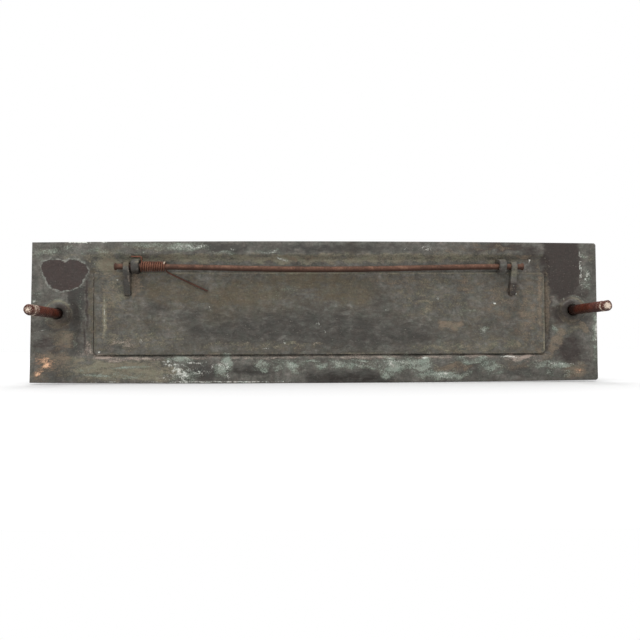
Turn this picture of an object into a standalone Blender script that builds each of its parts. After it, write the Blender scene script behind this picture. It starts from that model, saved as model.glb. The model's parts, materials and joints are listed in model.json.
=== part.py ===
# Cast bronze letter plate with a sprung inward-opening flap.
#
# Metres. +X runs along the plate, +Z is up on the door, -Y points into the door and +Y out to the
# street. The origin is the middle of the plate on its mounting face, the plane y = 0.
#
# The plate has a rebate sunk in its mounting face. The flap lies in the rebate and fills the opening.
# Two fins on the flap turn on a loose iron rod, which two lugs cast on the plate carry.
# A torsion spring on the rod holds the flap shut, and two iron studs pass into the door.

import math

import bmesh
import bpy
from mathutils import Matrix, Vector

# --- Plate ---------------------------------------------------------------------------------------
PLATE_LENGTH = 0.3556
PLATE_HEIGHT = 0.0889
PLATE_THICKNESS = 0.005
EDGE_CROWN = 0.001              # fall of the long edges from their middle to the corners
CORNER_RADIUS_LEFT = 0.0004
CORNER_RADIUS_RIGHT = 0.0016
END_LEAN_LEFT = 0.0010          # the ends lean in towards the top edge by this much
END_LEAN_RIGHT = 0.0004
FRONT_BEVEL_WIDTH = 0.004
FRONT_BEVEL_DEPTH = 0.0014
BACK_EDGE_BREAK = 0.0003

# --- Rebate in the mounting face -------------------------------------------------------------------
BORDER_LEFT = 0.0344            # from the plate's edge to the rim of the rebate
BORDER_RIGHT = 0.0302
BORDER_TOP = 0.0084
BORDER_BOTTOM = 0.0158
REBATE_DEPTH = 0.0026
WALL_RUN_LEFT = 0.0041          # how far the cast wall slopes in from the rim to the floor
WALL_RUN_RIGHT = 0.0030
WALL_RUN_TOP = 0.0030
WALL_RUN_BOTTOM = 0.0018
REBATE_CORNER_RADIUS = 0.0030

# --- Opening through the plate, inside the rebate ---------------------------------------------------
LIP_SIDE = 0.0060               # seat left round the opening for the flap to shut against
LIP_TOP = 0.0060
LIP_BOTTOM = 0.0055
OPENING_CORNER_RADIUS = 0.0015

# --- Flap --------------------------------------------------------------------------------------------
FLAP_SUNK = 0.0007              # its inner face lies this far below the mounting face
SEAT_GAP = 0.0003               # between the flap and the floor of the rebate
FLAP_EDGE_GAP = 0.0004          # between the flap and the foot of the rebate's walls
FLAP_EDGE_CHAMFER = 0.0003
FLAP_TOP_CORNER_RADIUS = 0.0010
PANEL_PROUD = 0.0008            # the panel stands this far out of the street face
PANEL_GAP_SIDE = 0.0006
PANEL_GAP_TOP = 0.0006
PANEL_GAP_BOTTOM = 0.0011       # wider, for the bottom edge to swing down and in
PANEL_EDGE_CHAMFER = 0.0008

# --- Hinge -------------------------------------------------------------------------------------------
HINGE_STANDOFF = 0.0035         # from the mounting face to the axis
HINGE_DROP = 0.0080             # from the rim of the rebate down to the axis
FLAP_TOP_DROP = 0.0033          # from the axis down to the flap's top edge
ROD_RADIUS = 0.0018
ROD_CLEARANCE = 0.0003          # radial, in the lugs and the fins
ROD_BOW = 0.00165               # sag of the bent rod halfway between the lugs
ROD_BOW_POWER = 1.6             # 1 bends it evenly, more leaves it straighter at the lugs
ROD_PAST_FIN_LEFT = 0.0057
ROD_PAST_FIN_RIGHT = 0.0044
ROD_HEAD_SPREAD = 0.0006        # how much the hammered ends swell
ROD_HEAD_LENGTH = 0.0016
KNUCKLE_WALL = 0.00105          # metal round the rod in a fin
FIN_THICKNESS = 0.0038
FIN_INSET = 0.0209              # from the flap's end to the middle of a fin
FIN_REACH = 0.0145              # length of the fin's foot on the flap
FIN_TOE_HEIGHT = 0.0016         # how far the fin's lower end stands off the flap
LUG_WALL = 0.0025               # metal round the rod in a lug
LUG_THICKNESS = 0.0046
LUG_FOOT_RISE = 0.0010          # the lug's foot is this much higher than its eye
LUG_FLAP_GAP = 0.0012           # between a lug's foot and the flap's top edge
FIN_GAP_LEFT = 0.0013           # end play between each fin and the lug beside it
FIN_GAP_RIGHT = 0.0032

# --- Return spring -----------------------------------------------------------------------------------
WIRE_RADIUS = 0.0005
COIL_BORE_CLEARANCE = 0.00045    # radial, between the coil and the rod
COIL_PITCH = 0.00138
COIL_TURNS = 11                 # whole turns, so that both legs leave the coil on its plate side
SPRING_GAP = 0.00035            # from the wire to the lug and to the flap
LEG_BEND = 0.0012               # bend of the fixed leg over the lug
LEG_PAST_LUG = 0.0010
TAIL_LENGTH = 0.0256            # along the plate, from the coil to the tip
TAIL_DROP = 0.0150              # from the axis down to the tip
TAIL_BEND_RUN = 0.0030          # where the tail turns from the coil towards its tip
TAIL_BEND_DROP = 0.0044

# --- Studs and their bosses --------------------------------------------------------------------------
STUD_RADIUS = 0.003175
STUD_REACH = 0.057              # from the mounting face to the tip
STUD_END_DISTANCE_LEFT = 0.0173    # from the plate's end to the stud
STUD_END_DISTANCE_RIGHT = 0.0166
STUD_Z_LEFT = -0.0009           # the studs stand a little off the plate's middle line
STUD_Z_RIGHT = 0.0008
STUD_TIP_CHAMFER = 0.0008
STUD_FIT_GAP = 0.0003
STUD_HOLE_SKIN = 0.0018         # metal left under the blind hole
BOSS_RADIUS = 0.0080
BOSS_HEIGHT = 0.0030
BOSS_LAND = 0.0012              # flat ring round the stud on top of the boss

# --- Facets ------------------------------------------------------------------------------------------
EDGE_STEPS = 16
CORNER_STEPS = 4
ROUND_STEPS = 28
DOME_STEPS = 5
EYE_STEPS = 14
COIL_STEPS_PER_TURN = 16
BEND_STEPS = 4
ROD_SPAN_STEPS = 24
SMALLEST_RADIUS = 0.0002
OVERLAP = 0.0006                # how deep joined shapes run into each other
CUT_MARGIN = 0.002              # how far a cutter reaches past the face it cuts

# --- Derived places ----------------------------------------------------------------------------------
rim_x0 = -PLATE_LENGTH / 2 + BORDER_LEFT
rim_x1 = PLATE_LENGTH / 2 - BORDER_RIGHT
rim_z0 = -PLATE_HEIGHT / 2 + BORDER_BOTTOM
rim_z1 = PLATE_HEIGHT / 2 - BORDER_TOP
floor_x0 = rim_x0 + WALL_RUN_LEFT
floor_x1 = rim_x1 - WALL_RUN_RIGHT
floor_z0 = rim_z0 + WALL_RUN_BOTTOM
hinge_y = -HINGE_STANDOFF
hinge_z = rim_z1 - HINGE_DROP
flap_x0 = floor_x0 + FLAP_EDGE_GAP
flap_x1 = floor_x1 - FLAP_EDGE_GAP
flap_z0 = floor_z0 + FLAP_EDGE_GAP
flap_z1 = hinge_z - FLAP_TOP_DROP
flange_y1 = REBATE_DEPTH - SEAT_GAP
opening_x0 = floor_x0 + LIP_SIDE
opening_x1 = floor_x1 - LIP_SIDE
opening_z0 = floor_z0 + LIP_BOTTOM
opening_z1 = flap_z1 - LIP_TOP
panel_y1 = PLATE_THICKNESS + PANEL_PROUD
fin_left_x = flap_x0 + FIN_INSET
fin_right_x = flap_x1 - FIN_INSET
lug_left_x = fin_left_x + FIN_THICKNESS / 2 + FIN_GAP_LEFT + LUG_THICKNESS / 2
lug_right_x = fin_right_x - FIN_THICKNESS / 2 - FIN_GAP_RIGHT - LUG_THICKNESS / 2
rod_x0 = fin_left_x - FIN_THICKNESS / 2 - ROD_PAST_FIN_LEFT
rod_x1 = fin_right_x + FIN_THICKNESS / 2 + ROD_PAST_FIN_RIGHT
rod_bore_radius = ROD_RADIUS + ROD_CLEARANCE
knuckle_radius = rod_bore_radius + KNUCKLE_WALL
lug_radius = rod_bore_radius + LUG_WALL
coil_radius = ROD_RADIUS + COIL_BORE_CLEARANCE + WIRE_RADIUS
coil_x0 = lug_left_x + LUG_THICKNESS / 2 + SPRING_GAP + WIRE_RADIUS
coil_x1 = coil_x0 + COIL_PITCH * COIL_TURNS
stud_left_x = -PLATE_LENGTH / 2 + STUD_END_DISTANCE_LEFT
stud_right_x = PLATE_LENGTH / 2 - STUD_END_DISTANCE_RIGHT
stud_root_y = PLATE_THICKNESS - STUD_HOLE_SKIN


# --- Helpers -----------------------------------------------------------------------------------------
def clear_scene():
    for old in list(bpy.data.objects):
        bpy.data.objects.remove(old, do_unlink=True)


def make_material(name, colour, roughness, metallic):
    material = bpy.data.materials.new(name)
    material.use_nodes = True
    shader = material.node_tree.nodes["Principled BSDF"]
    shader.inputs["Base Color"].default_value = (*colour, 1.0)
    shader.inputs["Roughness"].default_value = roughness
    shader.inputs["Metallic"].default_value = metallic
    return material


def add_object(name, data, material):
    obj = bpy.data.objects.new(name, data)
    bpy.context.scene.collection.objects.link(obj)
    if material is not None:
        data.materials.append(material)
    return obj


def mesh_from_bmesh(name, bm, material):
    bmesh.ops.recalc_face_normals(bm, faces=bm.faces)
    mesh = bpy.data.meshes.new(name)
    bm.to_mesh(mesh)
    bm.free()
    return add_object(name, mesh, material)


def loft(name, rings, material=None):
    # Closed body through rings of points, all with the same count, flat at both ends.
    bm = bmesh.new()
    rows = [[bm.verts.new(p) for p in ring] for ring in rings]
    count = len(rows[0])
    for low, high in zip(rows, rows[1:]):
        for i in range(count):
            j = (i + 1) % count
            bm.faces.new((low[i], low[j], high[j], high[i]))
    bm.faces.new(rows[0])
    bm.faces.new(rows[-1])
    return mesh_from_bmesh(name, bm, material)


def rounded_rectangle(x0, x1, z0, z1, top_radius, bottom_radius):
    corners = ((x1 - top_radius, z1 - top_radius, top_radius),
               (x0 + top_radius, z1 - top_radius, top_radius),
               (x0 + bottom_radius, z0 + bottom_radius, bottom_radius),
               (x1 - bottom_radius, z0 + bottom_radius, bottom_radius))
    points = []
    for quarter, (cx, cz, radius) in enumerate(corners):
        for i in range(CORNER_STEPS + 1):
            angle = math.pi / 2 * (quarter + i / CORNER_STEPS)
            points.append((cx + radius * math.cos(angle), cz + radius * math.sin(angle)))
    return points


def at_depth(outline, y):
    return [(x, y, z) for x, z in outline]


def turned_along_y(name, profile, x, z, material=None):
    # Profile is (radius, y) from one end to the other.
    rings = []
    for radius, y in profile:
        ring = []
        for i in range(ROUND_STEPS):
            angle = 2 * math.pi * i / ROUND_STEPS
            ring.append((x + radius * math.cos(angle), y, z + radius * math.sin(angle)))
        rings.append(ring)
    return loft(name, rings, material)


def prism_along_x(name, profile, x, thickness, material=None):
    # Profile is (y, z), centred on x.
    rings = [[(x + side * thickness / 2, y, z) for y, z in profile] for side in (-1, 1)]
    return loft(name, rings, material)


def hinge_circle(radius, start, end, steps):
    points = []
    for i in range(steps + 1):
        angle = start + (end - start) * i / steps
        points.append((hinge_y + radius * math.cos(angle), hinge_z + radius * math.sin(angle)))
    return points


def tangent_angle(radius, y, z, side):
    # Where a line from (y, z) touches the circle round the hinge axis.
    dy = y - hinge_y
    dz = z - hinge_z
    return math.atan2(dz, dy) + side * math.acos(radius / math.hypot(dy, dz))


def hinge_bore(name, x, thickness):
    full_turn = 2 * math.pi * (1 - 1 / ROUND_STEPS)
    circle = hinge_circle(rod_bore_radius, 0, full_turn, ROUND_STEPS - 1)
    return prism_along_x(name, circle, x, thickness + 2 * CUT_MARGIN)


def combine(target, tool, operation):
    modifier = target.modifiers.new(tool.name, "BOOLEAN")
    modifier.operation = operation
    modifier.solver = "EXACT"
    modifier.object = tool
    tool.hide_render = True
    tool.display_type = "WIRE"


def set_origin(obj, x, y, z):
    point = Vector((x, y, z))
    obj.data.transform(Matrix.Translation(-point))
    obj.location = point


def shade_round(obj, angle):
    obj.data.shade_smooth()
    obj.data.set_sharp_from_angle(angle=math.radians(angle))


def smooth_path(points, steps):
    # Catmull-Rom curve through the points.
    ends = [2 * points[0] - points[1]] + points + [2 * points[-1] - points[-2]]
    path = []
    for a, b, c, d in zip(ends, ends[1:], ends[2:], ends[3:]):
        for i in range(steps):
            t = i / steps
            path.append(0.5 * (2 * b + (c - a) * t + (2 * a - 5 * b + 4 * c - d) * t * t
                               + (3 * b - a - 3 * c + d) * t * t * t))
    path.append(points[-1])
    return path


def wire(name, points, radii, thickness, resolution, material):
    curve = bpy.data.curves.new(name, "CURVE")
    curve.dimensions = "3D"
    curve.bevel_depth = thickness
    curve.bevel_resolution = resolution
    curve.use_fill_caps = True
    spline = curve.splines.new("POLY")
    spline.points.add(len(points) - 1)
    for point, place, radius in zip(spline.points, points, radii):
        point.co = (*place, 1.0)
        point.radius = radius
    spline.use_smooth = True
    return add_object(name, curve, material)


# --- Plate -------------------------------------------------------------------------------------------
def leaned_x(x, z):
    lean = END_LEAN_LEFT if x < 0 else END_LEAN_RIGHT
    return x * (1 - 2 * lean / PLATE_LENGTH * (0.5 + z / PLATE_HEIGHT))


def plate_outline(inset):
    def edge_z(x):
        return PLATE_HEIGHT / 2 - EDGE_CROWN * (2 * x / PLATE_LENGTH) ** 2 - inset

    end_x = PLATE_LENGTH / 2 - inset
    right = max(CORNER_RADIUS_RIGHT - inset, SMALLEST_RADIUS)
    left = max(CORNER_RADIUS_LEFT - inset, SMALLEST_RADIUS)
    right_x = end_x - right
    left_x = left - end_x
    top = []
    for i in range(CORNER_STEPS + 1):
        angle = math.pi / 2 * i / CORNER_STEPS
        top.append((right_x + right * math.cos(angle), edge_z(right_x) - right + right * math.sin(angle)))
    for i in range(1, EDGE_STEPS):
        x = right_x + (left_x - right_x) * i / EDGE_STEPS
        top.append((x, edge_z(x)))
    for i in range(CORNER_STEPS + 1):
        angle = math.pi / 2 * (1 + i / CORNER_STEPS)
        top.append((left_x + left * math.cos(angle), edge_z(left_x) - left + left * math.sin(angle)))
    bottom = [(x, -z) for x, z in reversed(top)]
    return [(leaned_x(x, z), z) for x, z in top + bottom]


def rebate_ring(y):
    # The walls slope in from the rim at y = 0 to the floor.
    rise = (REBATE_DEPTH - y) / REBATE_DEPTH
    outline = rounded_rectangle(floor_x0 - WALL_RUN_LEFT * rise, floor_x1 + WALL_RUN_RIGHT * rise,
                                floor_z0 - WALL_RUN_BOTTOM * rise, rim_z1 - WALL_RUN_TOP * (1 - rise),
                                REBATE_CORNER_RADIUS, REBATE_CORNER_RADIUS)
    return at_depth(outline, y)


def lug_profile():
    foot_y = REBATE_DEPTH + OVERLAP
    foot_z0 = flap_z1 + LUG_FLAP_GAP
    foot_z1 = hinge_z + lug_radius + LUG_FOOT_RISE
    start = tangent_angle(lug_radius, REBATE_DEPTH, foot_z1, 1)
    end = tangent_angle(lug_radius, REBATE_DEPTH, foot_z0, -1) + 2 * math.pi
    eye = hinge_circle(lug_radius, start, end, EYE_STEPS)
    return eye + [(REBATE_DEPTH, foot_z0), (foot_y, foot_z0), (foot_y, foot_z1), (REBATE_DEPTH, foot_z1)]


def boss_profile():
    land_radius = STUD_RADIUS + STUD_FIT_GAP + BOSS_LAND
    profile = [(BOSS_RADIUS, OVERLAP)]
    for i in range(DOME_STEPS + 1):
        angle = math.pi / 2 * i / DOME_STEPS
        profile.append((land_radius + (BOSS_RADIUS - land_radius) * math.cos(angle),
                        -BOSS_HEIGHT * math.sin(angle)))
    return profile


def build_plate(bronze):
    front_y = PLATE_THICKNESS - FRONT_BEVEL_DEPTH
    plate = loft("face_plate", [at_depth(plate_outline(BACK_EDGE_BREAK), 0),
                                at_depth(plate_outline(0), BACK_EDGE_BREAK),
                                at_depth(plate_outline(0), front_y),
                                at_depth(plate_outline(FRONT_BEVEL_WIDTH), PLATE_THICKNESS)], bronze)
    rebate = loft("rebate_cutter", [rebate_ring(-CUT_MARGIN), rebate_ring(REBATE_DEPTH)])
    combine(plate, rebate, "DIFFERENCE")
    outline = rounded_rectangle(opening_x0, opening_x1, opening_z0, opening_z1,
                                OPENING_CORNER_RADIUS, OPENING_CORNER_RADIUS)
    opening = loft("opening_cutter", [at_depth(outline, REBATE_DEPTH - CUT_MARGIN),
                                      at_depth(outline, PLATE_THICKNESS + CUT_MARGIN)])
    combine(plate, opening, "DIFFERENCE")
    for side, x, z in (("left", stud_left_x, STUD_Z_LEFT), ("right", stud_right_x, STUD_Z_RIGHT)):
        boss = turned_along_y("boss_" + side, boss_profile(), x, z)
        combine(plate, boss, "UNION")
        hole_radius = STUD_RADIUS + STUD_FIT_GAP
        hole = turned_along_y("stud_hole_" + side, [(hole_radius, -BOSS_HEIGHT - CUT_MARGIN),
                                                    (hole_radius, stud_root_y)], x, z)
        combine(plate, hole, "DIFFERENCE")
    for side, x in (("left", lug_left_x), ("right", lug_right_x)):
        lug = prism_along_x("lug_" + side, lug_profile(), x, LUG_THICKNESS)
        combine(plate, lug, "UNION")
        combine(plate, hinge_bore("lug_bore_" + side, x, LUG_THICKNESS), "DIFFERENCE")
    return plate


# --- Flap --------------------------------------------------------------------------------------------
def fin_profile():
    # The eye round the rod runs down in a straight web to the flap's inner face.
    root_y = FLAP_SUNK + OVERLAP
    top_z = flap_z1 - FLAP_EDGE_CHAMFER
    toe_z = flap_z1 - FIN_REACH
    start = tangent_angle(knuckle_radius, FLAP_SUNK, top_z, 1)
    toe_y = FLAP_SUNK - FIN_TOE_HEIGHT
    end = tangent_angle(knuckle_radius, toe_y, toe_z, -1) + 2 * math.pi
    eye = hinge_circle(knuckle_radius, start, end, EYE_STEPS)
    return eye + [(toe_y, toe_z), (root_y, toe_z), (root_y, top_z), (FLAP_SUNK, top_z)]


def build_flap(bronze):
    def flange_outline(inset):
        return rounded_rectangle(flap_x0 + inset, flap_x1 - inset, flap_z0 + inset, flap_z1 - inset,
                                 FLAP_TOP_CORNER_RADIUS, REBATE_CORNER_RADIUS)

    def panel_outline(inset):
        return rounded_rectangle(opening_x0 + PANEL_GAP_SIDE + inset, opening_x1 - PANEL_GAP_SIDE - inset,
                                 opening_z0 + PANEL_GAP_BOTTOM + inset, opening_z1 - PANEL_GAP_TOP - inset,
                                 OPENING_CORNER_RADIUS, OPENING_CORNER_RADIUS)

    flap = loft("flap", [at_depth(flange_outline(FLAP_EDGE_CHAMFER), FLAP_SUNK),
                         at_depth(flange_outline(0), FLAP_SUNK + FLAP_EDGE_CHAMFER),
                         at_depth(flange_outline(0), flange_y1)], bronze)
    panel = loft("panel", [at_depth(panel_outline(0), flange_y1 - OVERLAP),
                           at_depth(panel_outline(0), panel_y1 - PANEL_EDGE_CHAMFER),
                           at_depth(panel_outline(PANEL_EDGE_CHAMFER), panel_y1)])
    combine(flap, panel, "UNION")
    for side, x in (("left", fin_left_x), ("right", fin_right_x)):
        fin = prism_along_x("fin_" + side, fin_profile(), x, FIN_THICKNESS)
        combine(flap, fin, "UNION")
        combine(flap, hinge_bore("fin_bore_" + side, x, FIN_THICKNESS), "DIFFERENCE")
    set_origin(flap, (flap_x0 + flap_x1) / 2, hinge_y, hinge_z)
    return flap


# --- Rod ---------------------------------------------------------------------------------------------
def build_rod(iron):
    # Straight in the lugs and fins, bowed down between them, hammered over at both ends.
    span_x0 = lug_left_x + LUG_THICKNESS / 2
    span_x1 = lug_right_x - LUG_THICKNESS / 2
    head = 1 + ROD_HEAD_SPREAD / ROD_RADIUS
    places = [(rod_x0, 0, head), (rod_x0 + ROD_HEAD_LENGTH / 2, 0, head), (rod_x0 + ROD_HEAD_LENGTH, 0, 1)]
    for i in range(ROD_SPAN_STEPS + 1):
        t = i / ROD_SPAN_STEPS
        sag = ROD_BOW * math.sin(math.pi * t) ** ROD_BOW_POWER
        places.append((span_x0 + (span_x1 - span_x0) * t, sag, 1))
    places += [(rod_x1 - ROD_HEAD_LENGTH, 0, 1), (rod_x1 - ROD_HEAD_LENGTH / 2, 0, head), (rod_x1, 0, head)]
    points = [Vector((x, hinge_y, hinge_z - sag)) for x, sag, spread in places]
    return wire("hinge_rod", points, [spread for x, sag, spread in places], ROD_RADIUS, 4, iron)


# --- Return spring -----------------------------------------------------------------------------------
def build_spring(iron):
    back_y = hinge_y + coil_radius
    leg_z = hinge_z + lug_radius + LUG_FOOT_RISE + SPRING_GAP + WIRE_RADIUS
    points = [Vector((lug_left_x - LUG_THICKNESS / 2 - LEG_PAST_LUG, back_y, leg_z))]
    for i in range(BEND_STEPS + 1):
        angle = math.pi / 2 * (1 - i / BEND_STEPS)
        points.append(Vector((coil_x0 - LEG_BEND + LEG_BEND * math.cos(angle), back_y,
                              leg_z - LEG_BEND + LEG_BEND * math.sin(angle))))
    coil_steps = COIL_TURNS * COIL_STEPS_PER_TURN
    for i in range(coil_steps + 1):
        angle = -2 * math.pi * i / COIL_STEPS_PER_TURN
        points.append(Vector((coil_x0 + (coil_x1 - coil_x0) * i / coil_steps,
                              hinge_y + coil_radius * math.cos(angle),
                              hinge_z + coil_radius * math.sin(angle))))
    tip = Vector((coil_x1 + TAIL_LENGTH, FLAP_SUNK - SPRING_GAP - WIRE_RADIUS, hinge_z - TAIL_DROP))
    start = Vector((coil_x1, back_y, hinge_z))
    bend = Vector((coil_x1 + TAIL_BEND_RUN, (back_y + tip.y) / 2, hinge_z - TAIL_BEND_DROP))
    points += smooth_path([start, start + Vector((0, 0, -coil_radius / 2)), bend, tip], BEND_STEPS)[1:]
    return wire("return_spring", points, [1] * len(points), WIRE_RADIUS, 2, iron)


# --- Studs -------------------------------------------------------------------------------------------
def build_stud(name, x, z, iron):
    profile = [(STUD_RADIUS - STUD_TIP_CHAMFER, -STUD_REACH),
               (STUD_RADIUS, -STUD_REACH + STUD_TIP_CHAMFER),
               (STUD_RADIUS, stud_root_y - STUD_FIT_GAP)]
    stud = turned_along_y(name, profile, x, z, iron)
    set_origin(stud, x, 0, z)
    return stud


def build():
    clear_scene()
    bronze = make_material("aged_bronze", (0.115, 0.105, 0.085), 0.55, 0.85)
    iron = make_material("rusted_iron", (0.16, 0.07, 0.045), 0.75, 0.35)
    shade_round(build_plate(bronze), 32)
    shade_round(build_flap(bronze), 32)
    build_rod(iron)
    build_spring(iron)
    shade_round(build_stud("stud_left", stud_left_x, STUD_Z_LEFT, iron), 32)
    shade_round(build_stud("stud_right", stud_right_x, STUD_Z_RIGHT, iron), 32)


build()
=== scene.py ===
import json
import math

import bmesh
import bpy
import numpy as np
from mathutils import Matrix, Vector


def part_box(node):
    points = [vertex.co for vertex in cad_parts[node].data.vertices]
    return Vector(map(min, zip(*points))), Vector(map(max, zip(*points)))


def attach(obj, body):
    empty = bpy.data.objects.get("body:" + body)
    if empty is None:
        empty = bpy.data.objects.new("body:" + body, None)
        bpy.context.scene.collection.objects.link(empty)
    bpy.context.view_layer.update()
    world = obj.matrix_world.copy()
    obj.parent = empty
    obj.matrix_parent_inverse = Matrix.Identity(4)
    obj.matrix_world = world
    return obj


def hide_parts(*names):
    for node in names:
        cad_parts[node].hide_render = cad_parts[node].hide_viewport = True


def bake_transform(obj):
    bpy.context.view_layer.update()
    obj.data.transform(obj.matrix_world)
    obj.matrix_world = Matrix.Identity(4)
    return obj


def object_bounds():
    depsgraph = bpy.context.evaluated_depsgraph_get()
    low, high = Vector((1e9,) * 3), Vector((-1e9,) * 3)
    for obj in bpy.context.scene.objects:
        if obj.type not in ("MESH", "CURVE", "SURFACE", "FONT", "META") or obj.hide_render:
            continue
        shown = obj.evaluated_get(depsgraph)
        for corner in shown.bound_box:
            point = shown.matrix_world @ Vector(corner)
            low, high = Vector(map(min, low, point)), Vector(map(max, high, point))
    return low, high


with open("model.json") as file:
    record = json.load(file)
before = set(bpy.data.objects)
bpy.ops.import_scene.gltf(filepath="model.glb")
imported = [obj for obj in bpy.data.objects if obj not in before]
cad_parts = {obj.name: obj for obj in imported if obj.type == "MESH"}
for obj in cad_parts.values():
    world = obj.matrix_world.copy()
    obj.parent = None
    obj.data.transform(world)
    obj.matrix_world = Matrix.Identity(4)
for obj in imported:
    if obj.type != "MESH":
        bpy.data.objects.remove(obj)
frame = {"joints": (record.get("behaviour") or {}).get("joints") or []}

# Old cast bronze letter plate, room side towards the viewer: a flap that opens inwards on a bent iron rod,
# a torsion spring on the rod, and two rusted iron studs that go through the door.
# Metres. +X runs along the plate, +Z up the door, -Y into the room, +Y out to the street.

mm = 0.001
cadLow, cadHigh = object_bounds()
plateLow, plateHigh = (np.array(corner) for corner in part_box("face_plate"))
flapLow, flapHigh = (np.array(corner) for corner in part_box("flap"))
rodLow, rodHigh = (np.array(corner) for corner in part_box("hinge_rod"))
hingeY, hingeZ = frame["joints"][0]["pos_m"][1:]

finish = {"creaseAngle": 40, "mergeDistance": 0.002}   # degrees, mm


# Small tools

def linear(code):
    # sRGB hex to linear: a straight line near black, a power of 2.4 above it
    seen = np.array([int(code[i:i + 2], 16) / 255 for i in (0, 2, 4)])
    return tuple(np.where(seen <= 0.04045, seen / 12.92, ((seen + 0.055) / 1.055) ** 2.4))


def ease(t):
    # 0 below 0, 1 above 1, and a smooth S between them
    t = np.clip(t, 0, 1)
    return t * t * (3 - 2 * t)


def softNoise(places, size, seed, waves=22):
    # sum of plane waves in random directions, each about one size long, between about -1 and 1
    rng = np.random.default_rng(seed)
    directions = rng.normal(size=(3, waves))
    directions /= np.linalg.norm(directions, axis=0) * size * rng.uniform(0.7, 1.5, waves)
    phases = rng.uniform(0, 2 * math.pi, waves)
    return np.cos(2 * math.pi * places @ directions + phases).sum(-1) / math.sqrt(waves)


def blendLoops(first, second, t):
    return first * (1 - t) + second * t


def makeSurface(name, grid, around=True, along=False):
    # quads between neighbouring points of a grid (rows along, columns around), closed on itself where asked;
    # poles and seams are merged and every face turned outwards
    rows, cols = grid.shape[:2]
    i = np.arange(rows if along else rows - 1)
    j = np.arange(cols if around else cols - 1)
    a, b = i[:, None] * cols, ((i + 1) % rows)[:, None] * cols
    c, d = j[None, :], ((j + 1) % cols)[None, :]
    faces = np.stack((a + c, a + d, b + d, b + c), -1).reshape(-1, 4)
    mesh = bpy.data.meshes.new(name)
    mesh.from_pydata(grid.reshape(-1, 3).tolist(), [], faces.tolist())
    bm = bmesh.new()
    bm.from_mesh(mesh)
    bmesh.ops.remove_doubles(bm, verts=bm.verts, dist=finish["mergeDistance"] * mm)
    bmesh.ops.recalc_face_normals(bm, faces=bm.faces)
    bm.to_mesh(mesh)
    bm.free()
    mesh.shade_smooth()
    mesh.set_sharp_from_angle(angle=math.radians(finish["creaseAngle"]))
    piece = bpy.data.objects.new(name, mesh)
    bpy.context.scene.collection.objects.link(piece)
    return piece


def pointsOf(piece):
    co = np.empty(len(piece.data.vertices) * 3, np.float32)
    piece.data.vertices.foreach_get("co", co)
    return co.reshape(-1, 3).astype(float)


def storeValue(piece, name, values):
    layer = piece.data.attributes.new(name, "FLOAT", "POINT")
    layer.data.foreach_set("value", values.astype(np.float32))


def addNode(tree, kind, inputs=None, ramp=None, **settings):
    # one node with its settings, its input values or links, and its colour stops
    made = tree.nodes.new(kind)
    for key, value in settings.items():
        setattr(made, key, value)
    for key, value in (inputs or {}).items():
        if isinstance(value, bpy.types.NodeSocket):
            tree.links.new(value, made.inputs[key])
        else:
            made.inputs[key].default_value = value
    if ramp:
        stops = made.color_ramp.elements
        while len(stops) < len(ramp):
            stops.new(0.5)
        for stop, (place, code) in zip(stops, ramp):
            stop.position = place
            stop.color = (*linear(code), 1)
    return made


def newMaterial(name):
    material = bpy.data.materials.new(name)
    material.use_nodes = True
    return material, material.node_tree, material.node_tree.nodes["Principled BSDF"]


# Patina: where each stain lies, with a few marks of painted shadow and painted highlight among them
# Each stain is (x, z, half width, half height, turn in degrees, strength), in mm on the face of the casting.

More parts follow.
